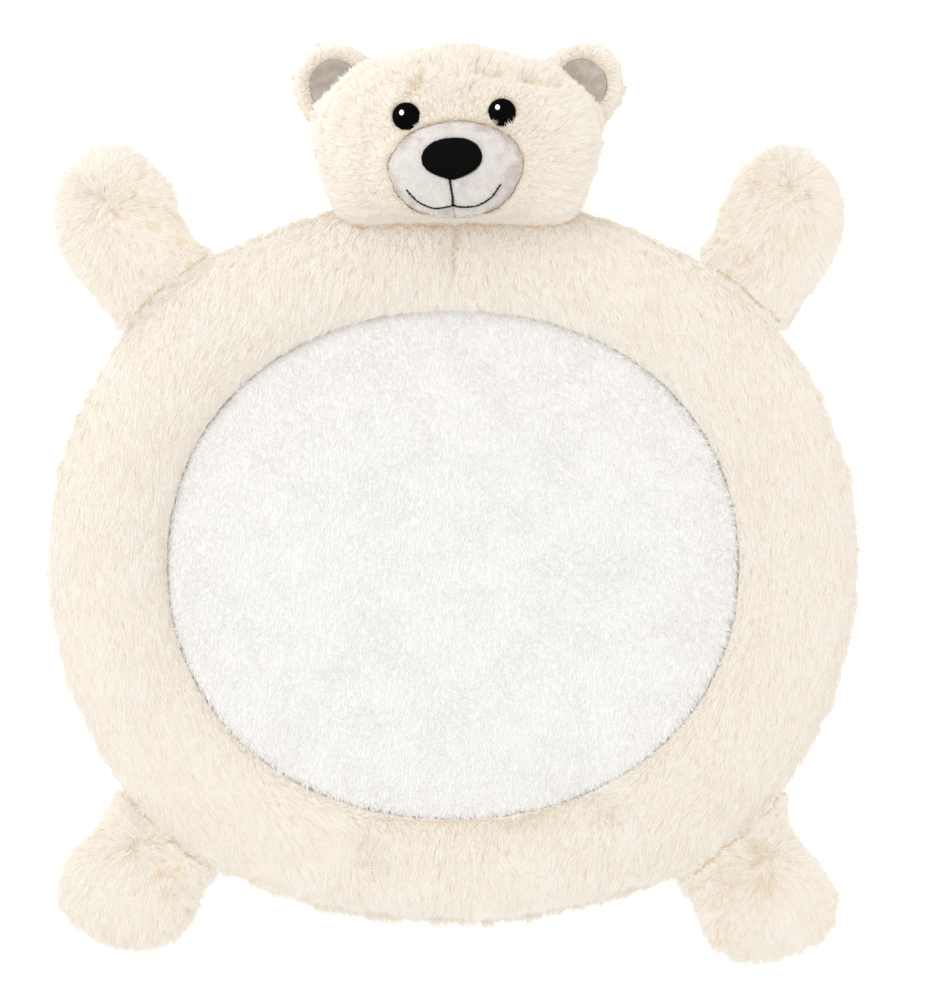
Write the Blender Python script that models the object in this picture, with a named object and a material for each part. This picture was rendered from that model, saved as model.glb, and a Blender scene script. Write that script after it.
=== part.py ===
"""A plush play mat for a baby, in the shape of a bear seen from above.

A stuffed ring of long fur surrounds a thinner short-pile panel. Four stuffed paws and a stuffed
head are sewn to the ring's outer edge. The head carries two ears with smooth linings, a muzzle,
a nose and two eyes. The solids reach as far as the tips of the pile, so they are lumpy, with
locks of fur along the rims that hang free.
"""

import math
import random

import bmesh
import bpy
from mathutils import Euler, Vector, noise

# All sizes are in metres. The origin is on the floor under the middle of the mat,
# +Y points to the bear's head and +Z up.
GAP = 0.0004
# How far a cutter stands proud of the piece it is a copy of, so that the cut leaves about a gap
CUTTER_GROWTH = 0.0005

# The ring: half its outer width and length, and how far it is from a true oval, which has a power of 2
RING_ACROSS, RING_ALONG, RING_POWER = 0.390, 0.350, 2.15
RING_Y = -0.002
RING_CROWN = 0.042
RING_STEPS = 192
# The ring's strip of fur is closed by one short seam under the chin.
RING_SEAM_DEEP, RING_SEAM_WIDE = 0.007, 0.009

# The panel inside the ring: half its width and length at the seam, and its power as for the ring
PANEL_ACROSS, PANEL_ALONG, PANEL_POWER = 0.276, 0.246, 2.12
PANEL_Y = -0.004
PANEL_STEPS = 64

PAW_STEPS = 44

# The head's middle on the mat
HEAD_X, HEAD_Y = 0.004, 0.4088
HEAD_STEPS = 72

EAR_REACH = 0.0395
EAR_STEPS = 36
LINING_ACROSS, LINING_ALONG = 0.0245, 0.0250
LINING_LOW, LINING_RISE, LINING_THICK = 0.029, 0.009, 0.003
LINING_STEPS = 24

MUZZLE_X, MUZZLE_Y, MUZZLE_Z = 0.003, 0.370, 0.077
MUZZLE_ACROSS, MUZZLE_ALONG = 0.067, 0.0463
MUZZLE_TILT, MUZZLE_TURN = math.radians(19), math.radians(2.5)
MUZZLE_STEPS = 36

NOSE_X, NOSE_Y, NOSE_Z = -0.0005, 0.3775, 0.1075
NOSE_TILT = math.radians(3)
NOSE_STEPS = 26

EYE_REACH = 0.0132
EYE_Z = 0.0905
EYE_STEPS = 20

# The lumps of the pile: how far they move a surface, and how far apart they are
LUMP, LUMP_SIZE = 0.0028, 0.034
# The locks along a free rim: how far the longest stands out, the shortest as a share of it,
# and how deep the notches between them are as a share of the lock beside
LOCK, LOCK_LEAST, LOCK_NOTCH = 0.0042, 0.25, 0.7
# Pile stays smooth this near a seam, and is at its full lumpiness this much further out.
SEAM_CALM, SEAM_BLEND = 0.004, 0.018
# The share of a lump's height that is left beside a seam
CALM_LUMP = 0.4

# The tables below run from a piece's top to its underside. Each row is
# (share of the piece's reach, height above the floor or above the piece's own plane).
PAW_ROWS = (
    (0.00, 0.0440),
    (0.36, 0.0435),
    (0.66, 0.0410),
    (0.86, 0.0350),
    (0.97, 0.0265),
    (1.00, 0.0175),
    (0.965, 0.0070),
    (0.90, 0.0),
    (0.00, 0.0),
)
HEAD_ROWS = (
    (0.00, 0.0920),
    (0.38, 0.0915),
    (0.64, 0.0885),
    (0.82, 0.0810),
    (0.93, 0.0690),
    (0.985, 0.0540),
    (1.00, 0.0380),
    (0.965, 0.0150),
    (0.89, 0.0),
    (0.00, 0.0),
)
EAR_ROWS = (
    (0.00, 0.0430),
    (0.34, 0.0430),
    (0.62, 0.0425),
    (0.84, 0.0380),
    (0.97, 0.0280),
    (1.00, 0.0180),
    (0.95, 0.0060),
    (0.87, 0.0),
    (0.00, 0.0),
)
PANEL_ROWS = (
    (0.00, 0.0260),
    (0.45, 0.0255),
    (0.75, 0.0245),
    (0.90, 0.0225),
    (0.97, 0.0190),
    (1.00, 0.0135),
    (1.00, 0.0),
    (0.00, 0.0),
)
MUZZLE_ROWS = (
    (0.00, 0.0320),
    (0.34, 0.0305),
    (0.62, 0.0255),
    (0.83, 0.0180),
    (0.95, 0.0090),
    (1.00, 0.0),
    (0.93, -0.0060),
    (0.60, -0.0110),
    (0.00, -0.0120),
)
NOSE_ROWS = (
    (0.00, 0.0095),
    (0.45, 0.0088),
    (0.75, 0.0068),
    (0.93, 0.0036),
    (1.00, 0.0),
    (0.88, -0.0050),
    (0.00, -0.0075),
)
EYE_ROWS = (
    (0.00, 0.0052),
    (0.50, 0.0045),
    (0.82, 0.0028),
    (1.00, 0.0),
    (0.85, -0.0045),
    (0.00, -0.0060),
)
# The ring's section, from its outer rim down, inwards, up the panel's side and over the crown:
# (share of the way from the panel's seam to the outer edge, share of the crown's height)
RING_ROWS = (
    (1.00, 0.42),
    (0.96, 0.14),
    (0.89, 0.00),
    (0.00, 0.00),
    (0.00, 0.36),
    (0.09, 0.71),
    (0.25, 0.93),
    (0.48, 1.00),
    (0.69, 0.95),
    (0.86, 0.79),
)
RING_RIM_ROW, PAW_RIM_ROW, HEAD_RIM_ROW, EAR_RIM_ROW = 0, 5, 6, 5

# The head seen from above: (degrees from +X, reach). The chin is flat and the jaw's corners are full.
HEAD_REACHES = (
    (-90, 0.0860),
    (-70, 0.0915),
    (-56, 0.1035),
    (-45, 0.1215),
    (-36, 0.1365),
    (-24, 0.1390),
    (-8, 0.1400),
    (0, 0.1395),
    (12, 0.1335),
    (25, 0.1205),
    (50, 0.0965),
    (70, 0.0880),
    (90, 0.0862),
)
# The nose seen from above: round at the top, with its point towards the mouth
NOSE_REACHES = (
    (-90, 0.0204),
    (-65, 0.0200),
    (-48, 0.0213),
    (-32, 0.0242),
    (-12, 0.0282),
    (0, 0.0291),
    (15, 0.0284),
    (34, 0.0250),
    (58, 0.0210),
    (90, 0.0187),
)
# Each paw: its name, its middle's x and y, and (degrees from +X, reach) all the way round.
# The longest reach of each points into the ring, where the seam ends it.
PAWS = (
    (
        "paw_upper_left",
        -0.318,
        0.318,
        (
            (-175, 0.068),
            (-147, 0.065),
            (-123, 0.069),
            (-104, 0.081),
            (-92, 0.096),
            (-55, 0.120),
            (-19, 0.096),
            (-8, 0.075),
            (8, 0.062),
            (35, 0.062),
            (62, 0.071),
            (90, 0.082),
            (115, 0.083),
            (140, 0.079),
            (162, 0.072),
        ),
    ),
    (
        "paw_upper_right",
        0.314,
        0.318,
        (
            (-175, 0.069),
            (-163, 0.082),
            (-154, 0.096),
            (-122, 0.120),
            (-86, 0.098),
            (-75, 0.081),
            (-60, 0.070),
            (-42, 0.063),
            (-18, 0.062),
            (7, 0.066),
            (31, 0.073),
            (56, 0.079),
            (80, 0.084),
            (98, 0.081),
            (125, 0.071),
            (150, 0.063),
            (170, 0.063),
        ),
    ),
    (
        "paw_lower_left",
        -0.300,
        -0.300,
        (
            (-175, 0.084),
            (-160, 0.088),
            (-143, 0.084),
            (-118, 0.080),
            (-90, 0.077),
            (-60, 0.076),
            (-33, 0.067),
            (-15, 0.065),
            (-2, 0.072),
            (8, 0.086),
            (50, 0.115),
            (100, 0.099),
            (107, 0.083),
            (118, 0.070),
            (135, 0.064),
            (157, 0.071),
        ),
    ),
    (
        "paw_lower_right",
        0.292,
        -0.308,
        (
            (-168, 0.071),
            (-150, 0.070),
            (-130, 0.078),
            (-105, 0.081),
            (-80, 0.081),
            (-60, 0.081),
            (-40, 0.086),
            (-22, 0.084),
            (-6, 0.079),
            (12, 0.069),
            (30, 0.061),
            (47, 0.060),
            (61, 0.067),
            (73, 0.094),
            (125, 0.118),
            (176, 0.080),
        ),
    ),
)
# side, the ear's middle, and its lining's middle
EARS = (
    ("left", (-0.1143, 0.4560), (-0.1135, 0.4540)),
    ("right", (0.1255, 0.4580), (0.1235, 0.4550)),
)
EYES = (("eye_left", -0.0439, 0.4194), ("eye_right", 0.0465, 0.4231))

# name, colour in linear light, roughness
FUR = ("cream_fur", (0.89, 0.83, 0.73), 0.95)
PANEL_PILE = ("white_short_pile", (0.92, 0.92, 0.90), 0.95)
MUZZLE_CLOTH = ("grey_short_pile", (0.70, 0.66, 0.63), 0.90)
LINING_CLOTH = ("warm_grey_cloth", (0.47, 0.42, 0.38), 0.85)
NOSE_CLOTH = ("black_satin", (0.012, 0.011, 0.011), 0.55)
EYE_SHINE = ("black_gloss", (0.006, 0.006, 0.006), 0.12)


class Outline:
    """A closed line seen from above, given by how far it reaches from its middle in each direction."""

    def __init__(self, x, y, reach):
        self.x, self.y, self.reach = x, y, reach

    def beyond(self, x, y):
        """How far a point is outside the line, and less than 0 inside it."""
        dx, dy = x - self.x, y - self.y
        return math.hypot(dx, dy) - self.reach(math.atan2(dy, dx))


def oval(across, along, power=2.0):
    """The reach of an oval, or of a rounded rectangle where the power is well over 2."""

    def reach(angle):
        c, s = math.cos(angle) / across, math.sin(angle) / along
        return (abs(c) ** power + abs(s) ** power) ** (-1 / power)

    return reach


def through(rows):
    """The reach of a closed line that passes smoothly through (degrees, reach) rows all the way round."""
    degrees = [rows[-1][0] - 360, *(row[0] for row in rows), rows[0][0] + 360, rows[1][0] + 360]
    reaches = [rows[-1][1], *(row[1] for row in rows), rows[0][1], rows[1][1]]

    def reach(angle):
        at = math.degrees(angle)
        at += 360 * math.ceil((degrees[1] - at) / 360 - 1e-9)
        at -= 360 * math.floor((at - degrees[1]) / 360 + 1e-9)
        k = max(i for i in range(1, len(degrees) - 2) if degrees[i] <= at + 1e-6)
        before, start, end, after = degrees[k - 1 : k + 3]
        u = (at - start) / (end - start)
        slope_start = (reaches[k + 1] - reaches[k - 1]) / (end - before) * (end - start)
        slope_end = (reaches[k + 2] - reaches[k]) / (after - start) * (end - start)
        return (
            (2 * u**3 - 3 * u**2 + 1) * reaches[k]
            + (u**3 - 2 * u**2 + u) * slope_start
            + (3 * u**2 - 2 * u**3) * reaches[k + 1]
            + (u**3 - u**2) * slope_end
        )

    return reach


def both_sides(rows):
    """The rows of a line that is the same left and right, from those of its right side."""
    left = [(180 - degrees, reach) for degrees, reach in reversed(rows) if abs(degrees) != 90]
    return (*rows, *left)


def stopped_by(free, neighbour):
    """An outline that ends a gap short of its neighbour's, as a stuffed piece ends at its seam."""

    def clear(angle, r):
        x = free.x + r * math.cos(angle)
        y = free.y + r * math.sin(angle)
        return neighbour.beyond(x, y) > GAP

    def reach(angle):
        full = free.reach(angle)
        near, step = 0.0, full / 60
        while near + step < full and clear(angle, near + step):
            near += step
        if near + step >= full and clear(angle, full):
            return full
        far = min(near + step, full)
        for _ in range(30):
            middle = (near + far) / 2
            if clear(angle, middle):
                near = middle
            else:
                far = middle
        return near

    return Outline(free.x, free.y, reach)


def freedom(x, y, neighbours):
    """0 at a seam with a neighbour and 1 well away from every one."""
    nearest = min(n.beyond(x, y) for n in neighbours)
    share = max(0.0, min(1.0, (nearest - SEAM_CALM) / SEAM_BLEND))
    return share * share * (3 - 2 * share)


def lump(x, y, z):
    """The pile's lumps at a place, from -1 to 1."""
    return noise.noise(Vector((x, y, z)) / LUMP_SIZE)


def lock(step, rows_past_rim, drawn):
    """How far a point stands out, so that every other point along a rim is the tip of a lock."""
    if rows_past_rim != 0:
        return 0.0
    length = LOCK * (LOCK_LEAST + (1 - LOCK_LEAST) * drawn)
    return length if step % 2 else -LOCK_NOTCH * length


def finish(name, colour, roughness):
    """A plain material, made once."""
    material = bpy.data.materials.get(name)
    if material is None:
        material = bpy.data.materials.new(name)
        material.use_nodes = True
        shader = material.node_tree.nodes["Principled BSDF"]
        shader.inputs["Base Color"].default_value = (*colour, 1)
        shader.inputs["Roughness"].default_value = roughness
        shader.inputs["Metallic"].default_value = 0.0
        material.diffuse_color = (*colour, 1)
    return material


def show(name, bm, look, collection, parent, location, rotation=(0, 0, 0)):
    """Puts a finished mesh into the scene as one named piece."""
    mesh = bpy.data.meshes.new(name)
    bm.to_mesh(mesh)
    bm.free()
    mesh.shade_smooth()
    mesh.materials.append(finish(*look))
    piece = bpy.data.objects.new(name, mesh)
    collection.objects.link(piece)
    piece.parent = parent
    piece.location = Vector(location) - (parent.location if parent else Vector())
    piece.rotation_euler = Euler(rotation)
    return piece


def cushion(name, outline, rows, steps, rim_row=None, neighbours=()):
    """A sphere reshaped to an outline seen from above and to a table of heights.

    Furry pieces have a rim row. They also get lumps, which only draw the sides in, and locks
    along their free rim, whose lengths are drawn from the piece's name.
    """
    draw = random.Random(name)
    drawn = [draw.random() for _ in range(steps)]
    bm = bmesh.new()
    bmesh.ops.create_uvsphere(bm, u_segments=steps, v_segments=len(rows) - 1, radius=1)
    for v in bm.verts:
        row = round(math.acos(max(-1.0, min(1.0, v.co.z))) / math.pi * (len(rows) - 1))
        angle = math.atan2(v.co.y, v.co.x)
        step = round(angle / (2 * math.pi) * steps) % steps
        share, height = rows[row]
        reach = outline.reach(angle)
        x, y = reach * math.cos(angle), reach * math.sin(angle)
        if rim_row is not None and height > 0:
            loose = freedom(outline.x + x, outline.y + y, neighbours) if share else 1.0
            bump = lump(outline.x + x * share, outline.y + y * share, height)
            drawn_in = LUMP * (0.5 - 0.5 * bump) * share * loose
            reach += lock(step, row - rim_row, drawn[step]) * loose - drawn_in
            if row < rim_row:
                height += LUMP * bump * (CALM_LUMP + (1 - CALM_LUMP) * loose)
        v.co = (
            reach * share * math.cos(angle),
            reach * share * math.sin(angle),
            height,
        )
    return bm


def fur_ring(inner, outer, neighbours):
    """A torus reshaped between the panel's seam and the mat's outer edge."""
    draw = random.Random("fur_ring")
    drawn = [draw.random() for _ in range(RING_STEPS)]
    count = len(RING_ROWS)
    wide, narrow = 1.0, 0.25  # only the torus's rows and steps are kept, so its size is free
    bpy.ops.mesh.primitive_torus_add(
        major_segments=RING_STEPS,
        minor_segments=count,
        major_radius=wide,
        minor_radius=narrow,
    )
    torus = bpy.context.object
    bm = bmesh.new()
    bm.from_mesh(torus.data)
    bpy.data.objects.remove(torus)
    for v in bm.verts:
        angle = math.atan2(v.co.y, v.co.x)
        around = math.atan2(v.co.z, math.hypot(v.co.x, v.co.y) - wide)
        # The torus counts its section from the outer side up, and the table from there down.
        row = round(-around / (2 * math.pi) * count) % count
        step = round(angle / (2 * math.pi) * RING_STEPS) % RING_STEPS
        across, height = RING_ROWS[row]
        near = inner.reach(angle)
        far = outer.reach(angle)
        start = Vector((inner.x + near * math.cos(angle), inner.y + near * math.sin(angle)))
        end = Vector((outer.x + far * math.cos(angle), outer.y + far * math.sin(angle)))
        loose = freedom(end.x, end.y, neighbours)
        at = start.lerp(end, across)
        z = RING_CROWN * height
        if height > 0 and across > 0:
            bump = lump(at.x, at.y, z)
            out = lock(step, row - RING_RIM_ROW, drawn[step]) * loose
            out -= LUMP * (0.5 - 0.5 * bump) * across * loose
            at += (end - start).normalized() * out
            if row != RING_RIM_ROW:
                z += LUMP * bump * (CALM_LUMP + (1 - CALM_LUMP) * loose)
            if at.y > 0:
                z -= RING_SEAM_DEEP * height * math.exp(-((at.x / RING_SEAM_WIDE) ** 2))
        v.co = (at.x, at.y, z)
    return bm


def lining_rows():
    """The section of the thin dish of smooth cloth that lies in an ear's hollow."""
    low, rise, thick = LINING_LOW, LINING_RISE, LINING_THICK
    return (
        (0.00, low),
        (0.45, low + rise * 0.20),
        (0.80, low + rise * 0.64),
        (1.00, low + rise - thick * 0.35),
        (0.80, low + rise * 0.64 - thick),
        (0.45, low + rise * 0.20 - thick),
        (0.00, low - thick),
    )


def hollow(bm, ear, middle):
    """Sinks an ear's top under its lining's dish, with a steep rim of fur around it."""
    rim, steep = 1.08, 0.10
    for v in bm.verts:
        x, y = v.co.x + ear.x - middle[0], v.co.y + ear.y - middle[1]
        share = math.hypot(x / LINING_ACROSS, y / LINING_ALONG)
        floor = LINING_LOW + LINING_RISE * share**2 - LINING_THICK * 0.8
        if v.co.z > LINING_LOW - LINING_THICK:
            v.co.z = min(v.co.z, floor + steep * max(0.0, share - rim))


def grown(piece, cutters):
    """A copy that stands a little more than a gap proud of a piece, kept out of sight as a cutter."""
    cutter = piece.copy()
    cutter.data = piece.data.copy()
    cutter.name = piece.name + "_cutter"
    cutter.modifiers.clear()
    cutters.objects.link(cutter)
    cutter.hide_render = True
    cutter.display_type = "WIRE"
    cutter.data.materials.clear()
    normals = [normal.vector.copy() for normal in cutter.data.vertex_normals]
    for v, normal in zip(cutter.data.vertices, normals):
        v.co += normal * CUTTER_GROWTH
    return cutter


def cut(piece, cutter):
    """Cuts a neighbour's shape out of a piece."""
    modifier = piece.modifiers.new("fits_" + cutter.name, "BOOLEAN")
    modifier.operation = "DIFFERENCE"
    modifier.solver = "EXACT"
    modifier.object = cutter


def build():
    for old in list(bpy.data.objects):
        bpy.data.objects.remove(old)
    parts = bpy.data.collections.new("bear_play_mat")
    cutters = bpy.data.collections.new("cutters")
    bpy.context.scene.collection.children.link(parts)
    bpy.context.scene.collection.children.link(cutters)
    mat = bpy.data.objects.new("mat_middle", None)
    parts.objects.link(mat)

    # Every outline comes first, because pieces that meet are shaped to each other.
    outer = Outline(0, RING_Y, oval(RING_ACROSS, RING_ALONG, RING_POWER))
    inner = Outline(0, PANEL_Y, oval(PANEL_ACROSS, PANEL_ALONG, PANEL_POWER))
    panel_edge = Outline(0, PANEL_Y, oval(PANEL_ACROSS - GAP, PANEL_ALONG - GAP, PANEL_POWER))
    head_edge = Outline(HEAD_X, HEAD_Y, through(both_sides(HEAD_REACHES)))
    paw_edges = {
        name: stopped_by(Outline(x, y, through(reaches)), outer) for name, x, y, reaches in PAWS
    }
    ear_edges = {side: Outline(*middle, oval(EAR_REACH, EAR_REACH)) for side, middle, _ in EARS}

    neighbours = [*paw_edges.values(), head_edge]
    ring = show("fur_ring", fur_ring(inner, outer, neighbours), FUR, parts, mat, (0, 0, 0))
    bm = cushion("centre_panel", panel_edge, PANEL_ROWS, PANEL_STEPS)
    show("centre_panel", bm, PANEL_PILE, parts, mat, (0, PANEL_Y, 0))
    for name, edge in paw_edges.items():
        bm = cushion(name, edge, PAW_ROWS, PAW_STEPS, PAW_RIM_ROW, [outer])
        show(name, bm, FUR, parts, mat, (edge.x, edge.y, 0))

    around_head = [*ear_edges.values(), outer]
    bm = cushion("head", head_edge, HEAD_ROWS, HEAD_STEPS, HEAD_RIM_ROW, around_head)
    head = show("head", bm, FUR, parts, mat, (HEAD_X, HEAD_Y, 0))
    head_cutter = grown(head, cutters)
    for side, _, lining_middle in EARS:
        edge = ear_edges[side]
        bm = cushion("ear_" + side, edge, EAR_ROWS, EAR_STEPS, EAR_RIM_ROW, [head_edge])
        hollow(bm, edge, lining_middle)
        ear = show("ear_" + side, bm, FUR, parts, head, (edge.x, edge.y, 0))
        name = "ear_lining_" + side
        dish = Outline(*lining_middle, oval(LINING_ACROSS, LINING_ALONG))
        bm = cushion(name, dish, lining_rows(), LINING_STEPS)
        cloth = show(name, bm, LINING_CLOTH, parts, head, (dish.x, dish.y, 0))
        cut(ear, grown(cloth, cutters))
        cut(ear, head_cutter)
        cut(cloth, head_cutter)

    edge = Outline(0, 0, oval(MUZZLE_ACROSS, MUZZLE_ALONG))
    bm = cushion("muzzle", edge, MUZZLE_ROWS, MUZZLE_STEPS)
    place, turn = (MUZZLE_X, MUZZLE_Y, MUZZLE_Z), (MUZZLE_TILT, 0, MUZZLE_TURN)
    muzzle = show("muzzle", bm, MUZZLE_CLOTH, parts, head, place, turn)
    edge = Outline(0, 0, through(both_sides(NOSE_REACHES)))
    bm = cushion("nose", edge, NOSE_ROWS, NOSE_STEPS)
    place, turn = (NOSE_X, NOSE_Y, NOSE_Z), (NOSE_TILT, 0, 0)
    nose = show("nose", bm, NOSE_CLOTH, parts, head, place, turn)
    cut(head, grown(ring, cutters))
    cut(head, grown(muzzle, cutters))
    cut(muzzle, grown(nose, cutters))
    for name, x, y in EYES:
        edge = Outline(0, 0, oval(EYE_REACH, EYE_REACH))
        bm = cushion(name, edge, EYE_ROWS, EYE_STEPS)
        eye = show(name, bm, EYE_SHINE, parts, head, (x, y, EYE_Z))
        cut(head, grown(eye, cutters))


build()
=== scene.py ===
# %% [markdown]
# # A bear shaped plush play mat
#
# This lesson dresses a plain CAD model of a baby's play mat. The real mat is sewn from two kinds
# of pile fabric and stuffed: a ring of long cream fur round a thinner white panel, four paws, and
# a head with ears, a muzzle, a nose and eyes. Almost everything that the eye sees is pile, so most
# of the lesson is about growing it: where it stands, which way it is combed, and what colour it
# has from its roots to its tips.

# %% Load the tools and the CAD frame
import math

import bmesh
import bpy
import numpy as np
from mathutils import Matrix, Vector, noise
from mathutils.bvhtree import BVHTree


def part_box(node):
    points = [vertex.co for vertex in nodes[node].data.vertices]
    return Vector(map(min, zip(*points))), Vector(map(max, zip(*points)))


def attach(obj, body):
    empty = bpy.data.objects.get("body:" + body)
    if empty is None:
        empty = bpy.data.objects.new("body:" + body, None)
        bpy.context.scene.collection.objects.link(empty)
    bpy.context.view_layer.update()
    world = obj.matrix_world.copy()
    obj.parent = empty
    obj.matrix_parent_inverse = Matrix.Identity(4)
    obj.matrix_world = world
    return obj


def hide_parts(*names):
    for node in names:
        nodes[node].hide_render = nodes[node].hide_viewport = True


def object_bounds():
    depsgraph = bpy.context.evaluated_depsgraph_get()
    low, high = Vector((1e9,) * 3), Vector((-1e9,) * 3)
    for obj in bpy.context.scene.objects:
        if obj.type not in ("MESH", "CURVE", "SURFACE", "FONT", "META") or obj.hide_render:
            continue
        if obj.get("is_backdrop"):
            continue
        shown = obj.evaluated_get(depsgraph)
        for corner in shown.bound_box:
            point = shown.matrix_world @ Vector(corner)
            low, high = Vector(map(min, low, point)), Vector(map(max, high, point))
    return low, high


# Noise starts from the clock unless it is given a seed.
NOISE_SEED = 7
noise.seed_set(NOISE_SEED)

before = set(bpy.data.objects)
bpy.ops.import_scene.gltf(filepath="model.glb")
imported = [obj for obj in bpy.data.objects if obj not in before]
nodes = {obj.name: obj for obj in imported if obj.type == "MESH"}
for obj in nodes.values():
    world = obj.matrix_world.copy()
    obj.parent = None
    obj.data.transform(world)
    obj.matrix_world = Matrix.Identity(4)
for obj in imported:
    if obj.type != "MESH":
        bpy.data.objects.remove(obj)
cad_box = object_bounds()
print("CAD nodes:", ", ".join(sorted(nodes)))

# %% Two helpers that every piece needs


def placed(name, data):
    """A new object in the scene."""
    made = bpy.data.objects.new(name, data)
    bpy.context.scene.collection.objects.link(made)
    return made


def new_material(name, values):
    """A material with plain values on its shader's sockets, its node tree and its shader."""
    material = bpy.data.materials.new(name)
    material.use_nodes = True
    shader = material.node_tree.nodes["Principled BSDF"]
    for label, value in values.items():
        shader.inputs[label].default_value = value
    return material, material.node_tree, shader


# %% [markdown]
# ## The camera
#
# The mat was photographed from straight above. A long lens high over it gives the same gentle
# perspective: the head stands 9 cm off the floor, and is drawn a little larger and pushed a
# little outwards. The lens follows from the scale of the picture, which is 0.96 mm a pixel on
# the mat's surface.

# %% The camera
PICTURE_TALL = 1000
MM_A_PIXEL = 0.96
EYE_HEIGHT = 4.0
EYE_OVER = (0.021, 0.0576)
PILE_HEIGHT = 0.018
SENSOR = 36.0

shot = bpy.data.cameras.new("camera")
shot.sensor_width = SENSOR
shot.lens = SENSOR * (EYE_HEIGHT - PILE_HEIGHT) / (PICTURE_TALL * MM_A_PIXEL / 1000)
camera = placed("camera", shot)
camera.location = (*EYE_OVER, EYE_HEIGHT)
bpy.context.scene.camera = camera
print("lens", round(shot.lens, 1), "mm")

# %% [markdown]
# ## Soft studio light
#
# White pile on a white floor shows its form only through very soft shading. One large light
# stands at the upper left, as in the photograph, a weaker one fills from the right, and the pale
# world round them keeps the shadows light. The plain Standard view keeps whites white.

# %% The floor, the lights and the world
FLOOR_HALF = 6.0


def area_light(name, place, size, watts, colour):
    """A square light that looks at the middle of the mat."""
    data = bpy.data.lights.new(name, "AREA")
    data.size = size
    data.energy = watts
    data.color = colour
    light = placed(name, data)
    light.location = place
    light.rotation_euler = (-Vector(place)).to_track_quat("-Z", "Y").to_euler()
    return light


area_light("key_light", (-1.9, 1.7, 2.3), 2.0, 52, (1.0, 0.985, 0.96))
area_light("fill_light", (2.2, -1.0, 2.4), 2.2, 14, (1.0, 0.98, 0.95))

world = bpy.data.worlds.new("pale_studio")
world.use_nodes = True
backdrop = world.node_tree.nodes["Background"]
backdrop.inputs["Color"].default_value = (1.0, 0.98, 0.95, 1)
backdrop.inputs["Strength"].default_value = 1.16
bpy.context.scene.world = world
bpy.context.scene.view_settings.view_transform = "Standard"

floor_mesh = bpy.data.meshes.new("floor")
corners = [(x * FLOOR_HALF, y * FLOOR_HALF, 0) for x, y in ((-1, -1), (1, -1), (1, 1), (-1, 1))]
floor_mesh.from_pydata(corners, [], [(0, 1, 2, 3)])
floor = placed("floor", floor_mesh)
card = {"Base Color": (0.93, 0.93, 0.93, 1), "Roughness": 0.8}
card |= {"Emission Color": (1, 1, 1, 1), "Emission Strength": 0.22}
floor_mesh.materials.append(new_material("white_card", card)[0])
floor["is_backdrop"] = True

# %% [markdown]
# ## Nodes in few words
#
# Shader trees and geometry trees are both made of nodes and links. These helpers add a node,
# feed its sockets with a number or with another node's output, and return what comes out, so
# that a formula in the tree reads like a formula.

# %% Helpers for node trees


def feed(tree, socket, value):
    """Links another socket to this one, or sets a plain value on it."""
    if isinstance(value, bpy.types.NodeSocket):
        tree.links.new(value, socket)
    else:
        socket.default_value = value


def add(tree, kind, inputs=(), **settings):
    """A node of a kind, with its settings, and its sockets fed by name or number."""
    node = tree.nodes.new(kind)
    for name, value in settings.items():
        setattr(node, name, value)
    for key, value in dict(inputs).items():
        feed(tree, node.inputs[key], value)
    return node


def maths(tree, operation, *values, **settings):
    """One step of arithmetic."""
    inputs = dict(enumerate(values))
    return add(tree, "ShaderNodeMath", inputs, operation=operation, **settings).outputs[0]


def vectors(tree, operation, *values):
    """One step of vector arithmetic."""
    inputs = dict(enumerate(values))
    if operation == "SCALE":
        inputs = {0: values[0], "Scale": values[1]}
    node = add(tree, "ShaderNodeVectorMath", inputs, operation=operation)
    return node.outputs["Value" if operation in ("LENGTH", "DOT_PRODUCT") else "Vector"]


def total(tree, *values):
    """The sum of several vectors."""
    summed = values[0]
    for value in values[1:]:
        summed = vectors(tree, "ADD", summed, value)
    return summed


def drawn_vector(tree, reach, seed, number=None):
    """A random vector for each point, or for each number that is fed in."""
    inputs = {"Min": (-reach,) * 3, "Max": (reach,) * 3, "Seed": seed}
    if number is not None:
        inputs["ID"] = number
    return add(tree, "FunctionNodeRandomValue", inputs, data_type="FLOAT_VECTOR").outputs[0]


def drawn_number(tree, least, most, seed, number=None):
    """A random number for each point, or for each number that is fed in."""
    inputs = {2: least, 3: most, "Seed": seed}
    if number is not None:
        inputs["ID"] = number
    return add(tree, "FunctionNodeRandomValue", inputs, data_type="FLOAT").outputs[1]


def noted(tree, name, data_type="FLOAT"):
    """An attribute that was written down earlier."""
    node = add(tree, "GeometryNodeInputNamedAttribute", {"Name": name}, data_type=data_type)
    return node.outputs["Attribute"]


def note(tree, geometry, name, value, data_type="FLOAT", domain="POINT"):
    """Writes an attribute down, and returns the geometry that carries it."""
    inputs = {"Geometry": geometry, "Name": name, "Value": value}
    kind = "GeometryNodeStoreNamedAttribute"
    return add(tree, kind, inputs, data_type=data_type, domain=domain).outputs["Geometry"]


def tree_input(tree, name, kind, value=None):
    """A named input on a node group."""
    socket = tree.interface.new_socket(name, in_out="INPUT", socket_type=kind)
    if value is not None:
        socket.default_value = value
    return socket.identifier
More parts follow.
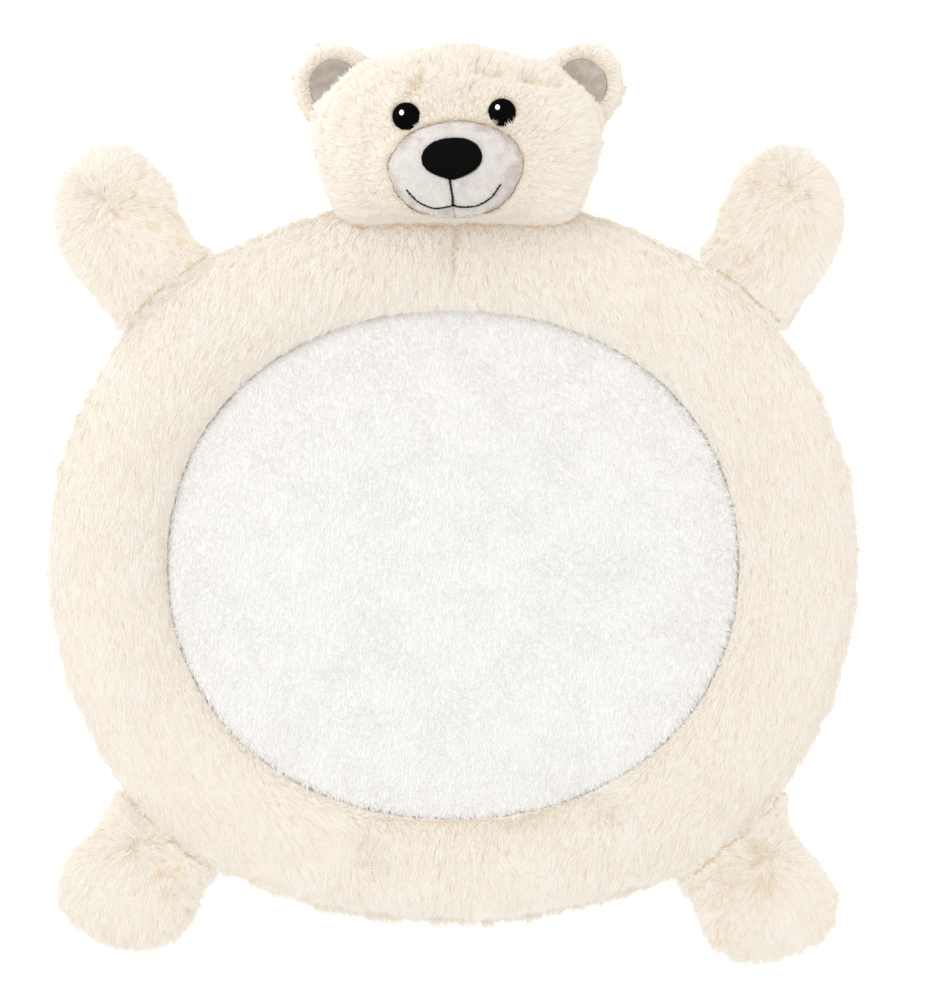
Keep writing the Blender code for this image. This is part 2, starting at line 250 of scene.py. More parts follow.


# %% [markdown]
# ## Colour along a hair
#
# Each hair of the pile remembers two numbers: `along`, which runs from 0 at its root to 1 at its
# tip, and `tone`, which is its own small difference from its neighbours, and near 1 where shade
# is painted on it deep in a seam or a crease. The roots of real plush sit in the shade of the
# pile and look warm and dark, so the root colour is painted shade, and the tips are pale. The
# Shaded colour darkens a hair by its tone, part random and part painted shade, and the Painted
# shade colour darkens the hairs of seams and creases further. All the piles of this mat are
# coloured in this way, so the colouring is one node group, with its own colours in each material.

# %% A node group for pile colour
pile_colour = bpy.data.node_groups.new("pile_colour", "ShaderNodeTree")
for label, kind, value in (
    ("Root", "NodeSocketColor", (0.6, 0.4, 0.2, 1)),
    ("Body", "NodeSocketColor", (0.8, 0.7, 0.6, 1)),
    ("Tip", "NodeSocketColor", (0.9, 0.9, 0.9, 1)),
    ("Shaded", "NodeSocketColor", (0.8, 0.8, 0.8, 1)),
    ("Deep", "NodeSocketColor", (0.6, 0.6, 0.6, 1)),
):
    tree_input(pile_colour, label, kind, value)
pile_colour.interface.new_socket("Color", in_out="OUTPUT", socket_type="NodeSocketColor")
given = pile_colour.nodes.new("NodeGroupInput").outputs
along = add(pile_colour, "ShaderNodeAttribute", attribute_name="along").outputs["Fac"]
tone = add(pile_colour, "ShaderNodeAttribute", attribute_name="tone").outputs["Fac"]


def blended(tree, factor, first, second, blend="MIX"):
    """Two colours mixed by a factor."""
    node = add(tree, "ShaderNodeMix", data_type="RGBA", blend_type=blend)
    for key, value in ((0, factor), (6, first), (7, second)):
        feed(tree, node.inputs[key], value)
    return node.outputs[2]


def eased(tree, value, low, high):
    """0 below low, 1 above high, and a smooth way between."""
    inputs = {0: value, 1: low, 2: high}
    node = add(tree, "ShaderNodeMapRange", inputs, interpolation_type="SMOOTHSTEP")
    return node.outputs[0]


lower = blended(pile_colour, eased(pile_colour, along, 0.0, 0.55), given["Root"], given["Body"])
whole = blended(pile_colour, eased(pile_colour, along, 0.45, 0.95), lower, given["Tip"])
# Shaded follows the tone, part random and part painted shade; Painted shade darkens seams.
toned = blended(pile_colour, eased(pile_colour, tone, 0.0, 0.7), whole, given["Shaded"], "MULTIPLY")
toned = blended(pile_colour, eased(pile_colour, tone, 0.55, 1.0), toned, given["Deep"], "MULTIPLY")
add(pile_colour, "NodeGroupOutput", {"Color": toned})


def pile_material(name, root, body, tip, shaded, deep, sheen, gloss=0.15):
    """A material for pile, coloured by the group."""
    values = {"Roughness": 0.9, "Specular IOR Level": gloss}
    values |= {"Sheen Weight": sheen, "Sheen Roughness": 0.6}
    material, tree, shader = new_material(name, values)
    group = add(tree, "ShaderNodeGroup", node_tree=pile_colour)
    colours = {"Root": root, "Body": body, "Tip": tip, "Shaded": shaded, "Deep": deep}
    for label, value in colours.items():
        group.inputs[label].default_value = (*value, 1)
    tree.links.new(group.outputs["Color"], shader.inputs["Base Color"])
    return material


cream_fur = pile_material(
    "cream_fur",
    root=(0.68, 0.62, 0.53),
    body=(0.70, 0.66, 0.605),
    tip=(0.735, 0.715, 0.68),
    shaded=(0.97, 0.945, 0.905),
    deep=(0.87, 0.73, 0.55),
    sheen=0.05,
)

# %% [markdown]
# ## One tree that grows every pile
#
# Hair modifiers are quick, but a shared model needs plain faces. So the pile is grown by geometry
# nodes: points are scattered over a skin, a small hair of three faces is set on each, and every
# hair is then bent by a formula. A second, wider scatter of points stands for the locks: each
# hair leans towards the nearest of them, and all hairs of one lock share its turn and its tone.
# The skin carries attributes that steer this: `comb`, the way that the pile lies, `pile`, its
# length, `cover`, how thickly it stands, `curl`, how much its locks turn, `warmth`,
# a slight tint and the shade of seams and creases painted into its colour, with values below 0
# lightening it as painted light, and `filled`, how level the pile is over a dip.

# %% Two kinds of hair


def one_hair(name, levels):
    """A flat tapered hair, 2 wide and 1 tall, which the tree bends: heights and shares of width."""
    verts = [(0, 0, 1)]
    for height, share in levels:
        verts += [(-share, 0, height), (share, 0, height)]
    faces = [(k, k + 1, k + 3, k + 2) for k in range(1, 2 * len(levels) - 1, 2)]
    faces.append((len(verts) - 2, len(verts) - 1, 0))
    mesh = bpy.data.meshes.new(name)
    mesh.from_pydata(verts, [], faces)
    return placed(name, mesh)


long_hair = one_hair("long_hair", ((0.0, 1.0), (0.5, 0.8)))
short_hair = one_hair("short_hair", ((0.0, 1.0),))

# %% The tree
FLOOR_CLEARANCE = 0.0006
LONGEST_PULL = 0.003
PULL_AT_MIDDLE = 0.3
STEEPER_AT_ROOT = 0.9
HAIR_LENGTHS = (0.72, 1.08)
LOCK_LENGTHS = (0.82, 1.12)

pile_tree = bpy.data.node_groups.new("grow_pile", "GeometryNodeTree")
PILE_INPUTS = {
    label: tree_input(pile_tree, label, kind, value)
    for label, kind, value in (
        ("Geometry", "NodeSocketGeometry", None),
        ("Hair", "NodeSocketObject", None),
        ("Hairs per m2", "NodeSocketFloat", 1000.0),
        ("Locks per m2", "NodeSocketFloat", 100.0),
        ("Half width", "NodeSocketFloat", 0.0005),
        ("Gather", "NodeSocketFloat", 0.6),
        ("Lock turn", "NodeSocketFloat", 0.4),
        ("Stray", "NodeSocketFloat", 0.25),
        ("Rise", "NodeSocketFloat", 0.7),
        ("Seed", "NodeSocketInt", 1),
        ("Finish", "NodeSocketMaterial", None),
    )
}
pile_tree.interface.new_socket("Geometry", in_out="OUTPUT", socket_type="NodeSocketGeometry")


def wire_pile_tree(tree):
    """Builds the nodes that scatter, gather and bend the hairs."""
    given = tree.nodes.new("NodeGroupInput").outputs
    seed = given["Seed"]
    place = tree.nodes.new("GeometryNodeInputPosition").outputs[0]

    def plus(first, second):
        return maths(tree, "ADD", first, second)

    def times(first, second):
        return maths(tree, "MULTIPLY", first, second)

    def scaled(vector, by):
        return vectors(tree, "SCALE", vector, by)

    def minus(first, second):
        return vectors(tree, "SUBTRACT", first, second)

    def unit(*parts):
        return vectors(tree, "NORMALIZE", total(tree, *parts))

    def vector_noted(name):
        return noted(tree, name, "FLOAT_VECTOR")

    def scattered(density, seed_step):
        thick = times(given[density], noted(tree, "cover"))
        inputs = {"Mesh": given["Geometry"], "Density": thick, "Seed": plus(seed, seed_step)}
        return add(tree, "GeometryNodeDistributePointsOnFaces", inputs).outputs

    hairs = scattered("Hairs per m2", 0)
    locks = scattered("Locks per m2", 1)["Points"]
    inputs = {"Geometry": locks, "Sample Position": place}
    lock = add(tree, "GeometryNodeSampleNearest", inputs).outputs["Index"]
    inputs = {"Geometry": locks, "Value": place, "Index": lock}
    sample = add(tree, "GeometryNodeSampleIndex", inputs, data_type="FLOAT_VECTOR")

    # Each hair's length, its lean and the pull of its lock
    curl, up, rise = noted(tree, "curl"), vector_noted("up"), given["Rise"]
    length = times(noted(tree, "pile"), drawn_number(tree, *HAIR_LENGTHS, seed))
    length = times(length, drawn_number(tree, *LOCK_LENGTHS, seed, lock))
    turn = scaled(drawn_vector(tree, 1.0, seed, lock), times(given["Lock turn"], curl))
    second = plus(seed, 7)
    stray = scaled(drawn_vector(tree, 1.0, second), given["Stray"])
    lean = total(tree, vector_noted("comb"), turn, stray)
    lean = minus(lean, scaled(up, vectors(tree, "DOT_PRODUCT", lean, up)))
    steep = unit(scaled(up, plus(rise, STEEPER_AT_ROOT)), lean)
    flat = unit(scaled(up, rise), lean)
    pull = minus(sample.outputs["Value"], place)
    farthest = maths(tree, "DIVIDE", LONGEST_PULL, vectors(tree, "LENGTH", pull))
    pull = scaled(pull, maths(tree, "MINIMUM", times(given["Gather"], curl), farthest))
    middle = total(tree, scaled(steep, times(length, 0.5)), scaled(pull, PULL_AT_MIDDLE))
    tip = total(tree, scaled(flat, length), pull)
    across = unit(vectors(tree, "CROSS_PRODUCT", tip, up))
    facing = unit(vectors(tree, "CROSS_PRODUCT", across, tip))
    twist = drawn_number(tree, -1.0, 1.0, plus(seed, 3))
    cosine, sine = maths(tree, "COSINE", twist), maths(tree, "SINE", twist)
    edge = total(tree, scaled(across, cosine), scaled(facing, sine))

    # The tone is part lock, part hair, part the place on the mat, and part tint and painted shade.
    patch = add(tree, "ShaderNodeTexNoise", {"Vector": place, "Scale": 22.0, "Detail": 2.0})
    tone = times(patch.outputs[0], 0.6)
    tone = plus(tone, drawn_number(tree, -0.18, 0.18, second, lock))
    tone = plus(tone, drawn_number(tree, -0.14, 0.14, second))
    tone = plus(tone, noted(tree, "warmth"))

    points = hairs["Points"]
    kept = {"up": hairs["Normal"], "root": place, "middle": middle, "tip": tip, "edge": edge}
    for name, value in kept.items():
        points = note(tree, points, name, value, "FLOAT_VECTOR")
    points = note(tree, points, "tone", maths(tree, "ADD", tone, 0.0, use_clamp=True))

    shape = add(tree, "GeometryNodeObjectInfo", {"Object": given["Hair"]}).outputs["Geometry"]
    inputs = {"Points": points, "Instance": shape}
    standing = add(tree, "GeometryNodeInstanceOnPoints", inputs).outputs[0]
    pile = add(tree, "GeometryNodeRealizeInstances", {0: standing}).outputs[0]

    # A hair's own place tells how far along it is, and how far from its middle line.
    root = vector_noted("root")
    own = add(tree, "ShaderNodeSeparateXYZ", {0: minus(place, root)}).outputs
    pile = note(tree, pile, "along", own["Z"])
    pile = note(tree, pile, "beside", own["X"])
    t, beside = noted(tree, "along"), noted(tree, "beside")
    # One smooth bend from the root through the middle to the tip
    to_tip = times(t, maths(tree, "SUBTRACT", times(t, 2.0), 1.0))
    to_middle = times(t, maths(tree, "SUBTRACT", 4.0, times(t, 4.0)))
    bends = {"middle": to_middle, "tip": to_tip, "edge": times(beside, given["Half width"])}
    bent = total(tree, root, *(scaled(vector_noted(name), by) for name, by in bends.items()))
    # No hair goes through the floor.
    bent = add(tree, "ShaderNodeSeparateXYZ", {0: bent}).outputs
    above = maths(tree, "MAXIMUM", bent["Z"], FLOOR_CLEARANCE)
    bent = add(tree, "ShaderNodeCombineXYZ", {0: bent["X"], 1: bent["Y"], 2: above}).outputs[0]
    pile = add(tree, "GeometryNodeSetPosition", {"Geometry": pile, "Position": bent}).outputs[0]

    # A map named OFBake, on which a hair lies by what colours it: how far along it is, and its
    # tone.
    map_x, row = (plus(times(noted(tree, name), 0.96), 0.02) for name in ("along", "tone"))
    map_y = plus(row, times(noted(tree, "beside"), 0.002))
    spot = add(tree, "ShaderNodeCombineXYZ", {0: map_x, 1: map_y}).outputs[0]
    pile = note(tree, pile, "OFBake", spot, "FLOAT2", "CORNER")

    # Hairs are lit almost as the cloth under them is, which is what makes pile look soft. Where
    # the pile of two pieces fills the dip between them, it is lit more as a level pile is.
    real = tree.nodes.new("GeometryNodeInputNormal").outputs[0]
    soft = (
        scaled(vector_noted("up"), 0.9),
        scaled(real, 0.1),
        scaled((0.0, 0.0, 1.0), noted(tree, "filled")),
    )
    lit = add(tree, "GeometryNodeSetMeshNormal", {"Mesh": pile}, mode="FREE", domain="POINT")
    feed(tree, lit.inputs["Custom Normal"], unit(*soft))
    pile = lit.outputs[0]
    for name in (*kept, "beside", "comb", "pile", "cover", "curl", "warmth", "filled"):
        pile = add(tree, "GeometryNodeRemoveAttribute", {"Geometry": pile, "Name": name}).outputs[0]
    inputs = {"Geometry": pile, "Material": given["Finish"]}
    add(tree, "NodeGroupOutput", {0: add(tree, "GeometryNodeSetMaterial", inputs).outputs[0]})


wire_pile_tree(pile_tree)
print("the pile tree has", len(pile_tree.nodes), "nodes")

# %% Growing a pile with the tree


def settled(piece):
    """Applies a piece's modifiers, so that it is a plain mesh."""
    depsgraph = bpy.context.evaluated_depsgraph_get()
    made = bpy.data.meshes.new_from_object(piece.evaluated_get(depsgraph))
    piece.modifiers.clear()
    piece.data = made
    made.name = piece.name
    return piece


def grow(skin, name, density, locks, finish, stamp=long_hair, **shape):
    """Grows a pile on a skin, with so many hairs and locks a square metre, as its own piece."""
    piece = placed(name, skin.data)
    values = {"Hair": stamp, "Hairs per m2": density, "Locks per m2": locks, "Finish": finish}
    modifier = piece.modifiers.new("pile", "NODES")
    modifier.node_group = pile_tree
    for label, value in (values | shape).items():
        modifier[PILE_INPUTS[label]] = value
    settled(piece)
    # White fibres hand light on far more often than a render follows it, so that a drawn pile
    # goes dark between its hairs. Out of the diffuse bounces, its depth stays as light as plush.
    piece.visible_diffuse = False
    print(name, len(piece.data.polygons), "faces")
    return piece


# %% [markdown]
# ## Skins: the cloth under the pile
#
# The solids of the CAD model reach to the tips of the pile. The cloth lies a pile's depth under
# them, except at the seams, where it comes up to the stitches. Each skin starts from its solid,
# remade in even faces, so that it can be stuffed by a cloth simulation: the seams and the flat
# underside are held, and a little pressure swells the rest.

# %% Making a skin
SEAM_SHARE = 0.15


def joined(*names):
    """The closed surfaces of some CAD nodes, merged, in one bmesh."""
    bm = bmesh.new()
    for name in names:
        bm.from_mesh(nodes[name].data)
    bmesh.ops.remove_doubles(bm, verts=bm.verts, dist=1e-5)
    return bm


def distance_to(names, co):
    """How far each place is from the nearest of some CAD nodes."""
    bm = joined(*names)
    tree = BVHTree.FromBMesh(bm)
    bm.free()
    return np.array([tree.find_nearest(Vector(v))[3] for v in co])


def smooth_share(values, low, high):
    """0 below low, 1 above high, and a smooth way between, for a whole array."""
    share = np.clip((values - low) / (high - low), 0, 1)
    return share * share * (3 - 2 * share)


def read_out(rows, field):
    """A vector of each of a mesh's rows, as an array."""
    found = np.empty(len(rows) * 3, np.float32)
    rows.foreach_get(field, found)
    return found.reshape(-1, 3).astype(float)


def places(mesh):
    """A mesh's vertices, as an array."""
    return read_out(mesh.vertices, "co")


def outward(mesh):
    """A mesh's vertex normals, as an array."""
    return read_out(mesh.vertex_normals, "vector")


def move_to(mesh, co):
    """Puts a mesh's vertices at new places."""
    mesh.vertices.foreach_set("co", co.astype(np.float32).ravel())
    mesh.update()


def skin_under(name, solids, sewn_to, depth, cell=0.005, side=0.6):
    """A skin a pile's depth under the solids, and how far each vertex is from a seam.

    On a steep side the pile lies against the cloth, so there the cloth has a share of the depth.
    """
    bm = joined(*solids)
    mesh = bpy.data.meshes.new(name)
    bm.to_mesh(mesh)
    bm.free()
    skin = placed(name, mesh)
    even = skin.modifiers.new("even_faces", "REMESH")
    even.mode, even.voxel_size = "VOXEL", cell
    eased_steps = skin.modifiers.new("eased_steps", "SMOOTH")
    eased_steps.iterations, eased_steps.factor = 2, 0.5
    settled(skin)
    mesh = skin.data
    co, normals = places(mesh), outward(mesh)
    seam = distance_to(sewn_to, co)
    sunk = depth * (SEAM_SHARE + (1 - SEAM_SHARE) * smooth_share(seam, 0.001, 0.024))
    normals[:, 2] = np.maximum(normals[:, 2], 0)
    sunk *= side + (1 - side) * normals[:, 2]
    co -= normals * sunk[:, None]
    co[:, 2] = np.maximum(co[:, 2], FLOOR_CLEARANCE)
    move_to(mesh, co)
    mesh.shade_smooth()
    return skin, seam


def set_attribute(mesh, name, values):
    """Writes an array on a mesh's vertices as an attribute."""
    vector = values.ndim == 2
    kind, field = ("FLOAT_VECTOR", "vector") if vector else ("FLOAT", "value")
    found = mesh.attributes.get(name) or mesh.attributes.new(name, kind, "POINT")
    found.data.foreach_set(field, values.astype(np.float32).ravel())


# %% [markdown]
# ## Stuffing by simulation
#
# A stuffed cloth isn't a smooth offset of its pattern: it swells between its seams and pulls
# taut at them. Blender's cloth solver finds that shape. Pressure pushes each skin out, gravity is
# off, and a cap keeps it from growing past the space that its solid has.

# %% The stuffing
FRAMES = 12


def stuffed(skin, seam, cap, pressure=4.0):
    """Swells a skin by a cloth simulation, held at its seams and its underside."""
    mesh = skin.data
    before, normals = places(mesh), outward(mesh)
    held = (seam < 0.007) | (before[:, 2] < 0.004) | (normals[:, 2] < -0.6)
    group = skin.vertex_groups.new(name="held")
    group.add([int(i) for i in np.flatnonzero(held)], 1.0, "REPLACE")
    cloth = skin.modifiers.new("stuffing", "CLOTH")
    cloth.settings.use_pressure = True
    cloth.settings.uniform_pressure_force = pressure
    cloth.settings.effector_weights.gravity = 0
    cloth.settings.vertex_group_mass = "held"
    cloth.settings.quality = 3
    cloth.point_cache.frame_start, cloth.point_cache.frame_end = 1, FRAMES
    scene = bpy.context.scene
    for step in range(1, FRAMES + 1):
        scene.frame_set(step)
    depsgraph = bpy.context.evaluated_depsgraph_get()
    swollen = places(skin.evaluated_get(depsgraph).to_mesh())
    skin.evaluated_get(depsgraph).to_mesh_clear()
    scene.frame_set(1)
    skin.modifiers.remove(cloth)
    skin.vertex_groups.clear()
    moved = swollen - before
    far = np.linalg.norm(moved, axis=1, keepdims=True)
    moved *= np.minimum(1, cap / np.maximum(far, 1e-9))
    after = before + moved
    after[:, 2] = np.maximum(after[:, 2], FLOOR_CLEARANCE)
    move_to(mesh, after)
    farthest = 1000 * np.linalg.norm(moved, axis=1).max()
    print(skin.name, "swelled by up to", round(farthest, 1), "mm")


# %% [markdown]
# ## Combing
#
# Pile fabric has a lay. On this mat it was cut so that the ring's pile lies down the mat, bending
# a little round the ring; on the paws it opens out from a whorl near the middle; on the head it
# runs up and away from the muzzle. Each of those is a few lines of arithmetic on the places of a
# skin's vertices. A slow random field is added, because handled plush never lies perfectly.

# %% Fields to comb with
DOWN_THE_MAT = np.array((0.0, -1.0, 0.0))
TO_THE_FLOOR = np.array((0.0, 0.0, -1.0))


def wander(co, size, seed):
    """A slow random field: how the lay wanders from place to place."""
    shift = Vector((seed, 0, 0))
    return np.array([noise.noise_vector(Vector(v) / size + shift) for v in co])


def flat_unit(x, y):
    """Unit vectors along the floor."""
    far = np.maximum(np.hypot(x, y), 1e-9)
    return np.stack([x / far, y / far, np.zeros_like(far)], 1)


def steepness(normals, low=0.15, high=0.75):
    """0 on level cloth, 1 on a steep side."""
    return smooth_share(1 - normals[:, 2], low, high)


def droop(normals):
    """How much of a steep side's pile hangs towards the floor."""
    return steepness(normals)[:, None] * TO_THE_FLOOR


def waves(co, size, seed):
    """A slow random number for each place, above and below 0."""
    shift = Vector((seed, 0, 0))
    return np.array([noise.noise(Vector(v) / size + shift) for v in co])


def patches(co, size, least=-0.2, most=0.2, seed=0.0):
    """Random patches of about a size: 0 in some places, 1 in others."""
    return smooth_share(waves(co, size, seed), least, most)


def ring_lay(co, normals):
    """Down the mat, bending round the ring, with a swirl in its lowest part."""
    around = np.arctan2(co[:, 1] / 0.35, co[:, 0] / 0.39)
    side = np.sign(np.cos(around))
    along = flat_unit(np.sin(around) * side, -np.cos(around) * side)
    share = np.minimum(1, 1.5 * np.abs(np.cos(around)))[:, None]
    lowest = smooth_share(-co[:, 1], 0.12, 0.30)[:, None]
    lay = 0.6 * DOWN_THE_MAT + 0.5 * share * along
    # Where the pile lies inwards, over the edge, little of it hangs.
    outwards = (lay * flat_unit(co[:, 0], co[:, 1])).sum(1)
    hang = 0.1 + 0.9 * smooth_share(outwards, -0.5, 0.0)
    lay += 1.8 * hang[:, None] * droop(normals)
    return lay + (0.30 + 0.7 * lowest) * wander(co, 0.045, 3.0)


def whorl_lay(middle, bias):
    """Out from a whorl, and a little down the mat."""

    def lay(co, normals):
        x, y = co[:, 0] - middle[0], co[:, 1] - middle[1]
        near = smooth_share(np.hypot(x, y), 0.0, 0.022)[:, None]
        field = near * flat_unit(x, y) * 0.9 + bias * DOWN_THE_MAT + 1.5 * droop(normals)
        field += 0.65 * wander(co, 0.035, 11.0)
        return field + 2.2 * (1 - near) * wander(co, 0.008, 21.0)

    return lay


def covering(co, normals, low=-0.75, high=-0.25):
    """Pile stands everywhere but on the underside."""
    return smooth_share(normals[:, 2], low, high) * smooth_share(co[:, 2], 0.001, 0.004)


def dressed(skin, lay, pile, cover, curl=1.0, warmth=0.0, filled=0.0):
    """Writes what steers the pile onto a skin."""
    mesh = skin.data
    normals = outward(mesh)
    lay = lay - normals * (lay * normals).sum(1, keepdims=True)
    set_attribute(mesh, "comb", lay)
    ones = np.ones(len(lay))
    given = {"pile": pile, "cover": cover, "curl": curl, "warmth": warmth, "filled": filled}
    for name, values in given.items():
        set_attribute(mesh, name, values * ones)


def smooth_line(points, count):
    """Points along a smooth line that passes through the given ones."""
    ends = [2 * np.array(points[0]) - points[1], 2 * np.array(points[-1]) - points[-2]]
    known = np.array([ends[0], *points, ends[1]])
    line = []
    for k in range(1, len(known) - 2):
        a, b, c, d = known[k - 1 : k + 3]
        for u in np.linspace(0, 1, count, endpoint=False):
            bend = (2 * a - 5 * b + 4 * c - d) * u**2 + (3 * b - a - 3 * c + d) * u**3
            line.append(0.5 * (2 * b + (c - a) * u + bend))
    return np.array([*line, known[-2]])


def beside_lines(co, lines):
    """How far each place is from some lines, seen from above."""
    points = np.concatenate(list(lines))
    apart = np.hypot(co[:, None, 0] - points[None, :, 0], co[:, None, 1] - points[None, :, 1])
    return apart.min(1)


def pressed(skin, lines, deep, wide):
    """Presses a groove into a skin along some lines, and returns how near each vertex is to it."""
    co = places(skin.data)
    near = np.exp(-((beside_lines(co, lines) / wide) ** 2))
    co[:, 2] -= deep * near * (co[:, 2] > 2 * deep)
    move_to(skin.data, co)
    return near


def parted(co, lines, wide):
    """How near each place is to some lines, and the way in which the pile falls from them."""
    points = np.concatenate(list(lines))
    off = co[:, None, 0:2] - points[None]
    apart = np.hypot(off[..., 0], off[..., 1])
    away = off[np.arange(len(co)), apart.argmin(1)]
    near = 1 - smooth_share(apart.min(1), 0.5 * wide, wide)
    return near, flat_unit(away[:, 0], away[:, 1]) * near[:, None]


def shown(piece, slot, *solids):
    """Makes a finished piece ride on the mat and stand for its solids; the slot is not used."""
    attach(piece, "root")
    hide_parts(*solids)
    return piece


def padded(skin, backing, slot, solid):
    """Gives a padded piece's cloth its backing and shows it for its solid; the slot is not used."""
    skin.data.materials.append(backing)
    shown(skin, slot, solid)


def search_tree(mesh):
    """A search tree that finds places on a mesh."""
    corners = [v.co for v in mesh.vertices]
    return BVHTree.FromPolygons(corners, [tuple(p.vertices) for p in mesh.polygons])


def laid_on(search, points, lift, height=0.085):
    """Places on a surface under points that are given from above, lifted a little."""
    line = []
    for x, y in points:
        down = search.ray_cast(Vector((x, y, 0.3)), Vector((0, 0, -1)))[0]
        line.append((x, y, (down or search.find_nearest(Vector((x, y, height)))[0]).z + lift))
    return np.array(line)


def rim_of(skin, inset, count=180):
    """A closed line just inside a cushion's outline, seen from above."""
    co = places(skin.data)
    middle = co[:, 0:2].mean(0)
    turn = np.arctan2(co[:, 1] - middle[1], co[:, 0] - middle[0])
    far = np.hypot(co[:, 0] - middle[0], co[:, 1] - middle[1])
    angles = np.linspace(-math.pi, math.pi, count, endpoint=False)
    apart = np.abs((turn[None, :] - angles[:, None] + math.pi) % (2 * math.pi) - math.pi)
    reach = np.where(apart < 0.04, far[None, :], 0).max(1)
    reach = sum(np.roll(reach, k) for k in range(-3, 4)) / 7 - inset
    line = middle + np.stack([reach * np.cos(angles), reach * np.sin(angles)], 1)
    return np.array([*line, line[0]])


def in_order(co, steps=14):
    """A line through scattered places beside the ring, in order round the mat's middle."""
    turn = np.arctan2(co[:, 1], co[:, 0])
    step = np.floor((turn - turn.min()) / np.ptp(turn) * (steps - 1e-6))
    return np.array([co[step == k].mean(0) for k in range(steps) if (step == k).any()])


def tufts_along(name, solid, line, depth, pile=0.006, width=0.0018, broken=0.25):
    """Short warm tufts along a line, darkened as painted shade where a seam or a crease lies."""
    line = line + 0.004 * wander(line, 0.009, 41.0) * (1, 1, 0)
    ahead = np.gradient(line, axis=0)
    beside = flat_unit(-ahead[:, 1], ahead[:, 0]) * width / 2
    count = len(line)
    mesh = bpy.data.meshes.new(name)
    faces = [(k + count, k + 1 + count, k + 1, k) for k in range(count - 1)]
    mesh.from_pydata([tuple(v) for v in (*(line + beside), *(line - beside))], [], faces)
    strip = placed(name + "_strip", mesh)
    co = places(mesh)
    cover = patches(co, 0.012, -broken, 0.5 - broken)
    # The depth is how much shade is painted into the tufts' colour.
    dressed(strip, 0.9 * wander(co, 0.006, 2.0), pile, cover, 1.0, depth, 1.5)
    shape = {"Half width": 0.00035, "Gather": 0.5, "Lock turn": 0.5, "Stray": 0.4, "Rise": 0.9}
    shown(grow(strip, name, 5000000, 600000, cream_fur, Seed=90, **shape), "cream_fur", solid)
    bpy.data.objects.remove(strip)


# %% [markdown]
# ## The backing cloth
#
# Between the hairs the eye reaches the cloth that they are knitted into. It is a warm tan in the
# shade of the pile, with a fine knitted ground.

# %% The backing's material


def backing_material(name, dark, light, scale):
    """A knitted ground cloth, mottled and finely ribbed."""
    values = {"Roughness": 0.95, "Specular IOR Level": 0.1}
    material, tree, shader = new_material(name, values)
    where = add(tree, "ShaderNodeTexCoord").outputs["Object"]
    mottle = add(tree, "ShaderNodeTexNoise", {"Vector": where, "Scale": scale, "Detail": 3.0})
    knit = add(tree, "ShaderNodeTexVoronoi", {"Vector": where, "Scale": 900.0})
    colour = blended(tree, mottle.outputs[0], (*dark, 1), (*light, 1))
    inputs = {"Strength": 0.4, "Distance": 0.0006, "Height": knit.outputs[0]}
    bump = add(tree, "ShaderNodeBump", inputs).outputs[0]
    feed(tree, shader.inputs["Base Color"], colour)
    feed(tree, shader.inputs["Normal"], bump)
    return material


tan_backing = backing_material("tan_backing", (0.64, 0.54, 0.41), (0.70, 0.62, 0.51), 60.0)
white_backing = backing_material("white_backing", (0.68, 0.68, 0.68), (0.73, 0.73, 0.73), 60.0)

# %% [markdown]
# ## The ring
#
# The ring is the biggest piece: a stuffed tube, closed under the chin by one short seam. Its pile
# is grown in pieces, left to right, because a mesh of more than 200,000 triangles is unwieldy.
# Its pile is grown in four pieces, left, right, top and bottom, so that no one mesh grows too
# large.

# %% The ring
PAWS = ("paw_upper_left", "paw_upper_right", "paw_lower_left", "paw_lower_right")
RING_SEAM = (
    (0.0026, 0.3200),
    (0.0034, 0.3110),
    (0.0028, 0.3010),
    (0.0024, 0.2900),
    (0.0028, 0.2800),
)
PART_EDGE = 0.225
RING_PILE = 0.0185

ring_skin, ring_seam = skin_under(
    "ring_cloth", ("fur_ring",), ("centre_panel", "head", *PAWS), depth=0.0085, side=0.2
)
stuffed(ring_skin, ring_seam, cap=0.004)
seam_line = smooth_line(RING_SEAM, 8)
short_seam = pressed(ring_skin, [seam_line], deep=0.002, wide=0.004)
co, normals = places(ring_skin.data), outward(ring_skin.data)
to_paws, to_head = distance_to(PAWS, co), distance_to(("head",), co)
# Beside the paws, the ring's pile lies over the seam in small tufts.
over = 1 - smooth_share(to_paws, 0.004, 0.015)
radial = flat_unit(co[:, 0], co[:, 1])
lay = ring_lay(co, normals) + over[:, None] * (1.2 * radial + 1.2 * wander(co, 0.011, 7.0))
# Where the pile would stand out past the mat's lower edge, it is shorter.
past_edge = np.clip((lay * radial).sum(1), 0, 1) * steepness(normals, 0.03, 0.4)
steep = steepness(normals)
length = RING_PILE * (0.55 + 0.45 * smooth_share(ring_seam, 0.0, 0.022)) + 0.009 * over
near_seam, away = parted(co, [seam_line], 0.008)
lay = lay * (1 - 0.5 * near_seam[:, None]) + 0.6 * away
shoulder = steepness(normals, 0.05, 0.6)
length *= (1 - 0.2 * near_seam) * (1 - 0.5 * past_edge) * (1 - 0.5 * shoulder)
cover = covering(co, normals)
